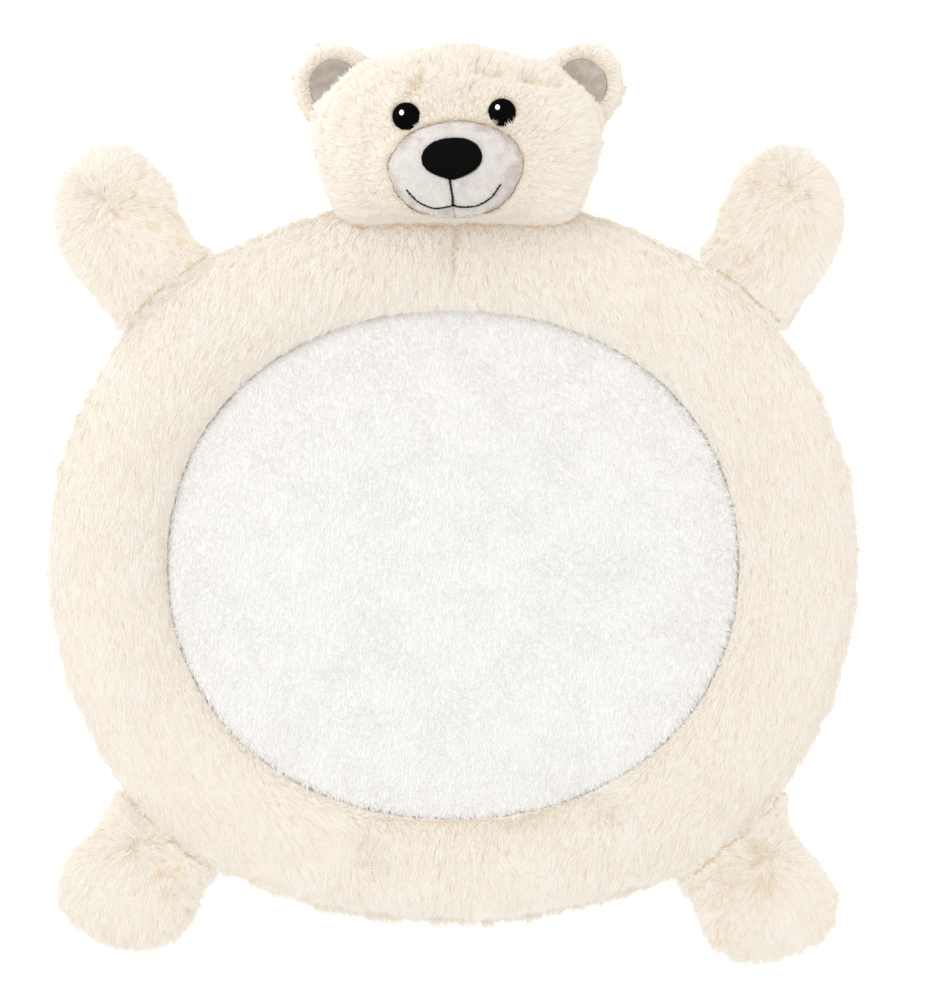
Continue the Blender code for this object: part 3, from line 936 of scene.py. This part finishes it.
# Beside the head and the paws the dips are filled and lit from both sides, and there and on
# steep sides the pile's colour is lightened as painted light against their shade.
beside_seams = np.maximum(over, 1 - smooth_share(to_head, 0.010, 0.028))
warmth = -0.15 * beside_seams * (1 - short_seam) - 0.25 * steep
filled = 2.0 * over + 0.8 * (1 - smooth_share(to_head, 0.004, 0.02))
curl = 1 - 0.75 * steep
outer = smooth_share(np.abs(co[:, 0]), PART_EDGE - 0.004, PART_EDGE + 0.004)
upper = smooth_share(co[:, 1], -0.004, 0.004)
ring_parts = {
    "left": outer * (co[:, 0] < 0),
    "right": outer * (co[:, 0] > 0),
    "top": (1 - outer) * upper,
    "bottom": (1 - outer) * (1 - upper),
}
shape = {"Half width": 0.00038, "Gather": 0.35, "Lock turn": 0.18, "Stray": 0.2, "Rise": 0.38}
for label, part in ring_parts.items():
    dressed(ring_skin, lay, length, cover * part, curl, warmth, filled)
    fur = grow(ring_skin, "ring_pile_" + label, 900000, 48000, cream_fur, Seed=20, **shape)
    shown(fur, "cream_fur", "fur_ring")
on_ring = search_tree(ring_skin.data)
line = laid_on(on_ring, seam_line, 0.006)
# Warm tufts along the short seam are painted shade.
tufts_along("short_seam_tufts", "fur_ring", line, 0.45, pile=0.005, width=0.0014)
padded(ring_skin, tan_backing, "cream_fur", "fur_ring")

# %% [markdown]
# ## The paws

# %% The paws
PAW_WHORLS = {
    "paw_upper_left": (-0.330, 0.335),
    "paw_upper_right": (0.325, 0.345),
    "paw_lower_left": (-0.300, -0.270),
    "paw_lower_right": (0.300, -0.290),
}
PAW_PILE = 0.0175
shape = {"Half width": 0.0004, "Gather": 0.4, "Lock turn": 0.28, "Stray": 0.26, "Rise": 0.45}
for paw, whorl in PAW_WHORLS.items():
    skin, seam = skin_under(paw + "_cloth", (paw,), ("fur_ring",), depth=0.0105, side=0.5)
    stuffed(skin, seam, cap=0.004)
    co, normals = places(skin.data), outward(skin.data)
    # Beside the ring, the pile stands short and tangled, and a line of warm tufts is painted shade.
    near_seam = 1 - smooth_share(seam, 0.004, 0.018)
    steep, shoulder = steepness(normals), steepness(normals, 0.05, 0.6)
    length = PAW_PILE * (0.65 + 0.35 * smooth_share(seam, 0.001, 0.010)) * (1 - 0.55 * shoulder)
    # The pile is curlier on the side that faces the mat's middle line, and stands in tangled tufts.
    inward = smooth_share(np.abs(whorl[0]) - np.abs(co[:, 0]), -0.01, 0.04) * (1 - shoulder)
    curl = (0.8 + 1.1 * inward) * (1 - 0.8 * steep)
    lay = whorl_lay(whorl, 0.25)(co, normals) + 1.1 * inward[:, None] * wander(co, 0.009, 15.0)
    tangled = 0.5 * flat_unit(co[:, 0], co[:, 1]) + 1.0 * wander(co, 0.011, 9.0)
    lay += near_seam[:, None] * (tangled - lay)
    from_whorl = np.hypot(co[:, 0] - whorl[0], co[:, 1] - whorl[1])
    near_whorl = 1 - smooth_share(from_whorl, 0.01, 0.05)
    # A slight tint; lightened as painted light by the seam and on steep sides; darkened as painted
    # shade round the whorl and in patches among the tangled locks.
    warmth = 0.1 - 0.35 * near_seam + 0.15 * near_whorl - 0.3 * steep
    warmth += 0.25 * inward * patches(co, 0.005, -0.1, 0.3, 5.0)
    filled = 1.4 * near_seam + 0.8 * near_whorl
    dressed(skin, lay, length, covering(co, normals), curl, warmth, filled)
    fur = grow(skin, paw + "_pile", 1350000, 75000, cream_fur, Seed=31, **shape)
    shown(fur, "cream_fur", paw)
    # Along the seam, a line of warm tufts is painted shade.
    beside_ring = (seam < 0.0045) & (normals[:, 2] > 0.2)
    line = smooth_line(in_order(co[beside_ring]), 5) + np.array((0, 0, 0.011))
    tufts_along(paw + "_seam_tufts", paw, line, 0.75, broken=0.4)
    padded(skin, tan_backing, "cream_fur", paw)

# %% [markdown]
# ## The head and the ears
#
# The head is the highest piece. Its pile runs up and away from the muzzle and is kept short beside
# the muzzle and the eyes, where the maker trims it. The ears are small cushions with a smooth
# lining in front, and their pile curls over its edge.

# %% The head
MUZZLE_MIDDLE = (0.003, 0.366)


def head_lay(co, normals):
    """Up and away from the muzzle, and steeper towards the crown."""
    x, y = co[:, 0] - MUZZLE_MIDDLE[0], co[:, 1] - MUZZLE_MIDDLE[1]
    out = flat_unit(x, y * 1.2)
    return out + 1.6 * droop(normals) + 0.45 * wander(co, 0.04, 5.0)


BROW_CREASES = (
    ((0.0192, 0.4594), (0.0310, 0.4575), (0.0437, 0.4564)),
    ((0.0644, 0.4523), (0.0785, 0.4486), (0.0900, 0.4478), (0.0981, 0.4478)),
    ((-0.0456, 0.4364), (-0.0380, 0.4440), (-0.0287, 0.4523)),
)
HEAD_PILE = 0.0170
face_pieces = ("muzzle", "eye_left", "eye_right")
sewn_to_head = ("fur_ring", "ear_left", "ear_right", *face_pieces)
head_skin, head_seam = skin_under(
    "head_cloth", ("head",), sewn_to_head, depth=0.0095, cell=0.0035, side=0.42
)
stuffed(head_skin, head_seam, cap=0.004)
creases = [smooth_line(line, 8) for line in BROW_CREASES]
crease = pressed(head_skin, creases, deep=0.0025, wide=0.004)
co, normals = places(head_skin.data), outward(head_skin.data)
bare = distance_to(face_pieces, co)
steep = steepness(normals)
length = HEAD_PILE * (0.28 + 0.72 * smooth_share(bare, 0.002, 0.03)) * (1 - 0.3 * steep)
to_linings = distance_to(("ear_lining_left", "ear_lining_right"), co)
length *= 0.55 + 0.45 * smooth_share(to_linings, 0.004, 0.018)
to_ring = distance_to(("fur_ring",), co)
near_ring = 1 - smooth_share(to_ring, 0.003, 0.024)
# A slight tint; darkened as painted shade in the brow creases and in patches beside the ring, and
# lightened as painted light on steep sides.
warmth = 0.1 + 0.3 * crease + 0.3 * near_ring * patches(co, 0.007) - 0.25 * steep
lay = head_lay(co, normals) + 1.3 * near_ring[:, None] * wander(co, 0.010, 13.0)
near_crease, away = parted(co, creases, 0.009)
lay = lay * (1 - 0.6 * near_crease[:, None]) + 0.8 * away
length *= 1 - 0.3 * near_crease
cover = covering(co, normals) * smooth_share(bare, 0.0010, 0.0030)
shape = {"Half width": 0.00038, "Gather": 0.45, "Lock turn": 0.32, "Stray": 0.2, "Rise": 0.4}
right_half = smooth_share(co[:, 0], -0.004, 0.004)
curl = (1 + near_ring) * (1 - 0.7 * steep)
for label, half in (("left", 1 - right_half), ("right", right_half)):
    dressed(head_skin, lay, length, cover * half, curl, warmth, 0.8 * near_ring)
    fur = grow(head_skin, "head_pile_" + label, 1350000, 60000, cream_fur, Seed=40, **shape)
    shown(fur, "cream_fur", "head")
on_head = search_tree(head_skin.data)
# Warm tufts along the brow creases and under the chin are painted shade.
for number, line in enumerate(BROW_CREASES):
    line = laid_on(on_head, smooth_line(line, 10), 0.006)
    tufts_along(f"brow_tufts_{number}", "head", line, 0.45, pile=0.005, width=0.0014)
chin = rim_of(head_skin, -0.004)
chin = chin[(chin[:, 1] < 0.36) & (np.abs(chin[:, 0] - 0.003) < 0.112)]
line = laid_on(on_ring, chin[chin[:, 0].argsort()], 0.006)
tufts_along("chin_tufts", "head", smooth_line(line, 4), 0.7)

# %% The wisps over the eyes
WISPS = {"eye_left": (-50,), "eye_right": (-125, -58)}
WISP_RADIUS = 0.0165
WISP_WIDE = 0.0045
shape = {"Half width": 0.0003, "Gather": 0.7, "Lock turn": 0.6, "Stray": 0.3, "Rise": 0.7}
for eye, angles in WISPS.items():
    low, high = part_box(eye)
    middle = ((low + high) / 2)[0:2]
    inwards = flat_unit(middle[0] - co[:, 0], middle[1] - co[:, 1])
    cover = np.zeros(len(co))
    for angle in np.radians(angles):
        x, y = Vector(middle) + WISP_RADIUS * Vector((math.cos(angle), math.sin(angle)))
        apart = np.hypot(co[:, 0] - x, co[:, 1] - y)
        cover += np.exp(-((apart / WISP_WIDE) ** 2)) * (normals[:, 2] > 0)
    dressed(head_skin, inwards, 0.0095, np.minimum(cover, 1))
    fur = grow(head_skin, eye + "_wisps", 1000000, 60000, cream_fur, Seed=44, **shape)
    shown(fur, "cream_fur", "head")
padded(head_skin, tan_backing, "cream_fur", "head")

# %% The ears
EAR_MIDDLES = {"left": (-0.1135, 0.4540), "right": (0.1235, 0.4550)}
EAR_PILE = 0.0135
shape = {"Half width": 0.0004, "Gather": 0.5, "Lock turn": 0.3, "Stray": 0.22, "Rise": 0.4}
for side, middle in EAR_MIDDLES.items():
    ear, lining = "ear_" + side, "ear_lining_" + side
    skin, seam = skin_under(
        ear + "_cloth", (ear,), ("head", lining), depth=0.0075, cell=0.003, side=0.4
    )
    stuffed(skin, seam, cap=0.002)
    co, normals = places(skin.data), outward(skin.data)
    bare, steep = distance_to((lining,), co), steepness(normals)
    lay = flat_unit(co[:, 0] - middle[0], co[:, 1] - middle[1])
    lay += 0.9 * droop(normals) + 0.7 * wander(co, 0.016, 8.0)
    length = EAR_PILE * (0.4 + 0.6 * smooth_share(bare, 0.002, 0.016)) * (1 - 0.25 * steep)
    cover = covering(co, normals) * smooth_share(bare, 0.0012, 0.0030)
    # Beside the head, the ear's pile is darkened as painted shade.
    warmth = 0.7 * (1 - smooth_share(distance_to(("head",), co), 0.001, 0.010))
    dressed(skin, lay, length, cover, 1 - 0.6 * steep, warmth)
    fur = grow(skin, ear + "_pile", 1700000, 100000, cream_fur, Seed=50, **shape)
    shown(fur, "cream_fur", ear)
    padded(skin, tan_backing, "cream_fur", ear)

# %% [markdown]
# ## The white panel
#
# Inside the ring lies a thinner pad of short, slightly curly white pile. Its hairs are a third as
# long as the ring's and are gathered in many small locks, so a hair of one face is enough.

# %% The panel
white_pile = pile_material(
    "white_pile",
    root=(0.69, 0.69, 0.69),
    body=(0.72, 0.72, 0.72),
    tip=(0.745, 0.75, 0.755),
    shaded=(0.985, 0.985, 0.985),
    deep=(0.92, 0.92, 0.925),
    sheen=0.1,
)
PANEL_PILE = 0.0065
panel_skin, panel_seam = skin_under(
    "panel_cloth", ("centre_panel",), ("fur_ring",), depth=0.004, cell=0.006
)
stuffed(panel_skin, panel_seam, cap=0.003)
co, normals = places(panel_skin.data), outward(panel_skin.data)
lay = 0.8 * DOWN_THE_MAT + 0.8 * wander(co, 0.03, 17.0)
edge_shade = 0.8 * (1 - smooth_share(panel_seam, 0.0, 0.008))
dressed(panel_skin, lay, PANEL_PILE, covering(co, normals, 0.2, 0.5), 1.0, edge_shade)
shape = {"Half width": 0.0007, "Gather": 0.5, "Lock turn": 0.5, "Stray": 0.4, "Rise": 0.5}
fur = grow(panel_skin, "panel_pile", 520000, 80000, white_pile, short_hair, Seed=60, **shape)
shown(fur, "white_pile", "centre_panel")
padded(panel_skin, white_backing, "white_pile", "centre_panel")

# %% [markdown]
# ## The muzzle
#
# The muzzle is a domed cushion of very short grey pile, like velvet. Its mouth is sewn with black
# thread, which pulls the cushion in along its line. So the line comes first: it presses a groove
# in the skin, the pile is grown on that, and the stitches are laid in the groove at the end.

# %% The mouth's line
MOUTH_LINES = {
    "stem": ((-0.0027, 0.3587), (-0.0016, 0.3510), (-0.0002, 0.3430), (0.0003, 0.3351)),
    "left_arc": (
        (0.0003, 0.3350),
        (-0.0055, 0.3336),
        (-0.0174, 0.3328),
        (-0.0300, 0.3372),
        (-0.0380, 0.3435),
        (-0.0425, 0.3488),
    ),
    "right_arc": (
        (0.0003, 0.3350),
        (0.0100, 0.3336),
        (0.0243, 0.3356),
        (0.0366, 0.3432),
        (0.0442, 0.3534),
    ),
}
mouth = {name: smooth_line(points, 12) for name, points in MOUTH_LINES.items()}

# %% The muzzle's cushion and pile
muzzle_pile = pile_material(
    "muzzle_pile",
    root=(0.57, 0.55, 0.535),
    body=(0.655, 0.635, 0.62),
    tip=(0.71, 0.695, 0.685),
    shaded=(0.92, 0.90, 0.89),
    deep=(0.80, 0.74, 0.70),
    sheen=0.1,
)
grey_backing = backing_material("grey_backing", (0.56, 0.54, 0.52), (0.63, 0.61, 0.59), 90.0)
CHIN_SEAM = ((0.0003, 0.3330), (0.0012, 0.3290), (0.0025, 0.3240))
MUZZLE_PILE = 0.0022
chin_line = smooth_line(CHIN_SEAM, 8)
muzzle_skin, muzzle_seam = skin_under(
    "muzzle_cloth", ("muzzle",), ("head",), depth=-0.0014, cell=0.0013
)
stuffed(muzzle_skin, muzzle_seam, cap=0.001)
pressed(muzzle_skin, mouth.values(), deep=0.0016, wide=0.0026)
in_chin_seam = pressed(muzzle_skin, [chin_line], deep=0.0012, wide=0.0016)
co, normals = places(muzzle_skin.data), outward(muzzle_skin.data)
from_mouth = beside_lines(co, mouth.values())
from_nose = distance_to(("nose",), co)
lay = flat_unit(co[:, 0], co[:, 1] - 0.378) * 0.7 + 0.7 * wander(co, 0.014, 23.0)
length = MUZZLE_PILE * (0.5 + 0.5 * smooth_share(muzzle_seam, 0.0, 0.004))
cover = smooth_share(normals[:, 2], -0.1, 0.1) * smooth_share(from_nose, 0.0006, 0.0015)
cover *= smooth_share(from_mouth, 0.0008, 0.0018)
brushed = waves(co, 0.010, 31)
# Brushed patches are the velvet's own mottling. The chin seam and the rim are darkened as painted
# shade, and the colour darkens towards the right as painted shade, away from the key light.
warmth = 0.8 * brushed + 0.6 * in_chin_seam + 3.5 * co[:, 0]
warmth += 0.5 * (1 - smooth_share(muzzle_seam, 0.001, 0.009))
dressed(muzzle_skin, lay, length, cover, 1.0, warmth)
shape = {"Half width": 0.00026, "Gather": 0.4, "Lock turn": 0.5, "Stray": 0.5, "Rise": 0.55}
fur = grow(muzzle_skin, "muzzle_pile", 3400000, 400000, muzzle_pile, short_hair, Seed=70, **shape)
shown(fur, "muzzle_pile", "muzzle")
padded(muzzle_skin, grey_backing, "muzzle_pile", "muzzle")

# %% [markdown]
# ## The nose
#
# The nose is a small black cushion of the same velvet as the muzzle, so it is made in the same way.
# It was sewn on a little askew, so its skin is turned a few degrees.

# %% The nose
nose_pile = pile_material(
    "nose_pile",
    root=(0.002, 0.002, 0.002),
    body=(0.004, 0.0036, 0.0036),
    tip=(0.012, 0.011, 0.011),
    shaded=(0.5, 0.5, 0.5),
    deep=(0.5, 0.5, 0.5),
    sheen=0.0,
    gloss=0.02,
)
darkest, dark = (0.002, 0.002, 0.002), (0.004, 0.004, 0.004)
black_backing = backing_material("black_backing", darkest, dark, 90.0)
NOSE_TURN = math.radians(5)
NOSE_LIFT = 0.0012
NOSE_PILE = 0.0016
nose_skin, nose_seam = skin_under("nose_cloth", ("nose",), ("muzzle",), depth=-0.0002, cell=0.0011)
stuffed(nose_skin, nose_seam, cap=0.0008)
co = places(nose_skin.data)
low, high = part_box("nose")
x, y = co[:, 0] - (low[0] + high[0]) / 2, co[:, 1] - (low[1] + high[1]) / 2
co[:, 0] += x * (math.cos(NOSE_TURN) - 1) - y * math.sin(NOSE_TURN)
co[:, 1] += x * math.sin(NOSE_TURN) + y * (math.cos(NOSE_TURN) - 1) + NOSE_LIFT
move_to(nose_skin.data, co)
normals = outward(nose_skin.data)
lay = 0.7 * DOWN_THE_MAT + 0.5 * wander(co, 0.01, 29.0)
dressed(nose_skin, lay, NOSE_PILE, smooth_share(normals[:, 2], -0.2, 0.1))
shape = {"Half width": 0.0002, "Gather": 0.3, "Lock turn": 0.4, "Stray": 0.5, "Rise": 0.6}
fur = grow(nose_skin, "nose_pile", 4000000, 400000, nose_pile, short_hair, Seed=80, **shape)
shown(fur, "nose_cloth", "nose")
padded(nose_skin, black_backing, "nose_cloth", "nose")

# %% [markdown]
# ## The ear linings
#
# The linings are smooth velvet in warm grey. Brushed velvet shows patches where its pile was
# stroked one way or the other, so the material mixes two greys by a slow noise, breaks them up
# with a fine one, and adds sheen at its edges.

# %% The linings
values = {"Roughness": 0.85, "Specular IOR Level": 0.2, "Sheen Weight": 0.15}
ear_velvet, tree, shader = new_material("ear_velvet", values)
where = add(tree, "ShaderNodeTexCoord").outputs["Object"]
stroked = add(tree, "ShaderNodeTexNoise", {"Vector": where, "Scale": 95.0, "Detail": 3.0})
fine = add(tree, "ShaderNodeTexNoise", {"Vector": where, "Scale": 900.0, "Detail": 2.0})
stroked = eased(tree, stroked.outputs[0], 0.35, 0.68)
grey = blended(tree, stroked, (0.30, 0.26, 0.23, 1), (0.42, 0.375, 0.34, 1))
grain = maths(tree, "MULTIPLY", fine.outputs[0], 0.5)
grey = blended(tree, grain, grey, (0.48, 0.445, 0.41, 1))
inputs = {"Strength": 0.3, "Distance": 0.0004, "Height": fine.outputs[0]}
feed(tree, shader.inputs["Base Color"], grey)
feed(tree, shader.inputs["Normal"], add(tree, "ShaderNodeBump", inputs).outputs[0])

RUMPLE = 0.0009
for side in EAR_MIDDLES:
    lining, ear = "ear_lining_" + side, "ear_" + side
    skin, seam = skin_under(lining + "_cloth", (lining,), (ear,), depth=0.0, cell=0.0012)
    co = places(skin.data)
    co[:, 2] += RUMPLE * waves(co, 0.011, 4)
    move_to(skin.data, co)
    padded(skin, ear_velvet, "ear_cloth", lining)

# %% [markdown]
# ## The eyes
#
# The eyes are black domes with a small white highlight sewn on at the upper left. Each eye is a
# turned form, a dome with a rolled edge, so it is lathed: a short profile is spun round.

# %% The eyes
values = {"Roughness": 0.35, "Specular IOR Level": 0.02}
eye_black, tree, shader = new_material("eye_black", values)
where = add(tree, "ShaderNodeTexCoord").outputs["Object"]
speck = add(tree, "ShaderNodeTexNoise", {"Vector": where, "Scale": 1500.0, "Detail": 2.0})
glints = eased(tree, speck.outputs[0], 0.60, 0.75)
black = blended(tree, glints, (0.001, 0.001, 0.001, 1), (0.012, 0.012, 0.012, 1))
feed(tree, shader.inputs["Base Color"], black)

highlight_thread, tree, shader = new_material("highlight_thread", {"Roughness": 0.4})
where = add(tree, "ShaderNodeTexCoord").outputs["Object"]
satin = add(tree, "ShaderNodeTexWave", {"Vector": where, "Scale": 900.0, "Distortion": 0.6})
white = blended(tree, satin.outputs[0], (0.82, 0.82, 0.82, 1), (0.95, 0.95, 0.95, 1))
feed(tree, shader.inputs["Base Color"], white)

EYES = {"eye_left": (-0.0481, 0.4224), "eye_right": (0.0422, 0.4275)}
EYE_PROFILE = (
    (0.0000, 1.00),
    (0.0035, 0.95),
    (0.0070, 0.80),
    (0.0098, 0.57),
    (0.0118, 0.30),
    (0.0129, 0.05),
    (0.0131, -0.20),
    (0.0124, -0.55),
    (0.0095, -0.85),
    (0.0000, -1.00),
)
EYE_TURNS = 48
EYE_BASE, EYE_HIGH, EYE_LOW = 0.0905, 0.0052, -0.0055
HIGHLIGHT_HALF = (0.0022, 0.0026, 0.00035)


def circle(radius, turns):
    """Points round a circle, or the one point at its middle if it has no radius."""
    angles = [2 * math.pi * k / turns for k in range(turns if radius else 1)]
    return [(radius * math.cos(angle), radius * math.sin(angle)) for angle in angles]


def bridged(bm, rings, turns):
    """Faces between each ring and the next."""
    for one, other in zip(rings, rings[1:]):
        for k in range(turns):
            a, b = one[k % len(one)], one[(k + 1) % len(one)]
            c, d = other[(k + 1) % len(other)], other[k % len(other)]
            bm.faces.new(list(dict.fromkeys((a, d, c, b))))


def turned(bm, middle, profile, turns, high, low):
    """Adds a turned form to a mesh: radii, and heights as shares of its top and its underside."""
    rings = []
    for radius, share in profile:
        z = middle[2] + (high * share if share > 0 else low * -share)
        ring = [(middle[0] + x, middle[1] + y, z) for x, y in circle(radius, turns)]
        rings.append([bm.verts.new(at) for at in ring])
    bridged(bm, rings, turns)


def from_bmesh(name, bm, material):
    """A piece made from a bmesh, smooth and in its material."""
    mesh = bpy.data.meshes.new(name)
    bm.to_mesh(mesh)
    bm.free()
    mesh.materials.append(material)
    mesh.shade_smooth()
    return placed(name, mesh)


for eye, highlight in EYES.items():
    low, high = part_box(eye)
    middle = ((low + high) / 2)[0:2]
    bm = bmesh.new()
    turned(bm, (*middle, EYE_BASE), EYE_PROFILE, EYE_TURNS, EYE_HIGH, EYE_LOW)
    dome = shown(from_bmesh(eye + "_dome", bm, eye_black), "eye_gloss", eye)
    search = search_tree(dome.data)
    bm = bmesh.new()
    bmesh.ops.create_uvsphere(bm, u_segments=24, v_segments=10, radius=1)
    for v in bm.verts:
        x = highlight[0] + v.co.x * HIGHLIGHT_HALF[0]
        y = highlight[1] + v.co.y * HIGHLIGHT_HALF[1]
        on_eye = search.ray_cast(Vector((x, y, 0.2)), Vector((0, 0, -1)))[0]
        v.co = (x, y, on_eye.z + HIGHLIGHT_HALF[2] * v.co.z)
    spot = from_bmesh(eye + "_highlight", bm, highlight_thread)
    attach(spot, "root")

# %% [markdown]
# ## The stitches
#
# The mouth is backstitched: short straight stitches of thick black thread, each starting a little
# behind the end of the last. A finer brown thread holds the muzzle's rim and its short seam under
# the mouth. One geometry tree does all of that: it resamples a line to one point a stitch and lays
# a stitch along the line at each of them.

# %% One stitch
STITCH_LONG = 0.0034
STITCH_THICK = 0.0023
STITCH_DIP = 0.0008
STITCH_SIDES = 8
STITCH_SHAPE = (
    (-0.62, 0.0),
    (-0.55, 0.55),
    (-0.3, 0.95),
    (0.0, 1.0),
    (0.3, 0.95),
    (0.55, 0.55),
    (0.62, 0.0),
)


def one_stitch():
    """A plump grain of thread along X, thinner at its ends, where it dips into the cloth."""
    bm = bmesh.new()
    rings = []
    for at, thick in STITCH_SHAPE:
        dip = STITCH_DIP * abs(at / STITCH_SHAPE[-1][0]) ** 3
        ring = circle(thick * STITCH_THICK / 2, STITCH_SIDES)
        rings.append([bm.verts.new((at * STITCH_LONG, y, z - dip)) for y, z in ring])
    bridged(bm, rings, STITCH_SIDES)
    bmesh.ops.recalc_face_normals(bm, faces=bm.faces)
    mesh = bpy.data.meshes.new("one_stitch")
    bm.to_mesh(mesh)
    bm.free()
    mesh.shade_smooth()
    return placed("one_stitch", mesh)


stitch = one_stitch()

# %% The tree that lays stitches
stitch_tree = bpy.data.node_groups.new("lay_stitches", "GeometryNodeTree")
STITCH_INPUTS = {
    label: tree_input(stitch_tree, label, kind)
    for label, kind in (
        ("Geometry", "NodeSocketGeometry"),
        ("Stitch", "NodeSocketObject"),
        ("Scale", "NodeSocketFloat"),
        ("Unevenness", "NodeSocketFloat"),
        ("Seed", "NodeSocketInt"),
        ("Thread", "NodeSocketMaterial"),
    )
}
stitch_tree.interface.new_socket("Geometry", in_out="OUTPUT", socket_type="NodeSocketGeometry")
given = stitch_tree.nodes.new("NodeGroupInput").outputs
spacing = maths(stitch_tree, "MULTIPLY", given["Scale"], STITCH_LONG)
inputs = {"Curve": given["Geometry"], "Length": spacing}
line = add(stitch_tree, "GeometryNodeResampleCurve", inputs, mode="LENGTH").outputs[0]
shape = add(stitch_tree, "GeometryNodeObjectInfo", {"Object": given["Stitch"]}).outputs["Geometry"]
tangent = stitch_tree.nodes.new("GeometryNodeInputTangent").outputs[0]
aligned = add(stitch_tree, "FunctionNodeAlignRotationToVector", {"Vector": tangent}, axis="X")
wobble = drawn_vector(stitch_tree, 1.0, given["Seed"])
wobble = vectors(stitch_tree, "SCALE", wobble, given["Unevenness"])
turned_by = add(stitch_tree, "FunctionNodeEulerToRotation", {0: wobble}).outputs[0]
aim = add(stitch_tree, "FunctionNodeRotateRotation", {0: aligned.outputs[0], 1: turned_by})
inputs = {"Points": line, "Instance": shape, "Rotation": aim.outputs[0], "Scale": given["Scale"]}
laid = add(stitch_tree, "GeometryNodeInstanceOnPoints", inputs)
made = add(stitch_tree, "GeometryNodeRealizeInstances", {0: laid.outputs[0]}).outputs[0]
inputs = {"Geometry": made, "Material": given["Thread"]}
threaded = add(stitch_tree, "GeometryNodeSetMaterial", inputs).outputs[0]
add(stitch_tree, "NodeGroupOutput", {0: threaded})

# %% Threads


def thread(name, dark, light):
    """A material for spun thread, whose plies show as fine specks."""
    values = {"Roughness": 0.6, "Specular IOR Level": 0.1}
    material, tree, shader = new_material(name, values)
    where = add(tree, "ShaderNodeTexCoord").outputs["Object"]
    ply = add(tree, "ShaderNodeTexNoise", {"Vector": where, "Scale": 1800.0, "Detail": 2.0})
    spun = blended(tree, ply.outputs[0], (*dark, 1), (*light, 1))
    feed(tree, shader.inputs["Base Color"], spun)
    return material


black_thread = thread("black_thread", (0.004, 0.004, 0.004), (0.02, 0.019, 0.018))
brown_thread = thread("brown_thread", (0.36, 0.27, 0.21), (0.50, 0.41, 0.35))

# %% Lines on the muzzle
on_muzzle = search_tree(muzzle_skin.data)


def evened(line, reach=5, spread=3):
    """A closed line without the jumps in height that it takes on a steep side."""
    heights = np.median([np.roll(line[:-1, 2], k) for k in range(-reach, reach + 1)], axis=0)
    heights = np.mean([np.roll(heights, k) for k in range(-spread, spread + 1)], axis=0)
    return np.column_stack([line[:, 0:2], [*heights, heights[0]]])


def sewn(name, lines, lift, scale, material, seed):
    """Stitches along some lines on the muzzle, as a piece."""
    curve = bpy.data.curves.new(name, "CURVE")
    curve.dimensions = "3D"
    for points in lines:
        spline = curve.splines.new("POLY")
        spline.points.add(len(points) - 1)
        laid = laid_on(on_muzzle, points, lift)
        if np.allclose(points[0], points[-1]):
            laid = evened(laid)
        for target, place in zip(spline.points, laid):
            target.co = (*place, 1)
    drawn = placed(name, curve)
    modifier = drawn.modifiers.new("stitches", "NODES")
    modifier.node_group = stitch_tree
    values = {"Stitch": stitch, "Scale": scale, "Unevenness": 0.06}
    values |= {"Seed": seed, "Thread": material}
    for label, value in values.items():
        modifier[STITCH_INPUTS[label]] = value
    depsgraph = bpy.context.evaluated_depsgraph_get()
    made = bpy.data.meshes.new_from_object(drawn.evaluated_get(depsgraph), depsgraph=depsgraph)
    bpy.data.objects.remove(drawn)
    piece = placed(name, made)
    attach(piece, "root")
    print(name, len(made.polygons), "faces")
    return piece


# %% The mouth, the rim and the seam under the mouth
mouth_stitches = sewn("mouth_stitches", mouth.values(), 0.0013, 1.0, black_thread, 3)
rim = rim_of(muzzle_skin, 0.0009)
seams = sewn("muzzle_seams", [rim, chin_line], 0.0005, 0.42, brown_thread, 5)
bpy.data.objects.remove(stitch)

# %% [markdown]
# ## Clearing up and the sizes
#
# The single hairs were only stamps, so they go. The sizes before and after are printed, so that
# the dressed mat can be compared with its solids.

# %% The sizes
for stamp in (long_hair, short_hair):
    bpy.data.objects.remove(stamp)
sizes = {"cad": [list(corner) for corner in cad_box], "dressed": [list(c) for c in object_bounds()]}
for label, (low, high) in sizes.items():
    print(label, [round(1000 * (b - a), 1) for a, b in zip(low, high)], "mm")
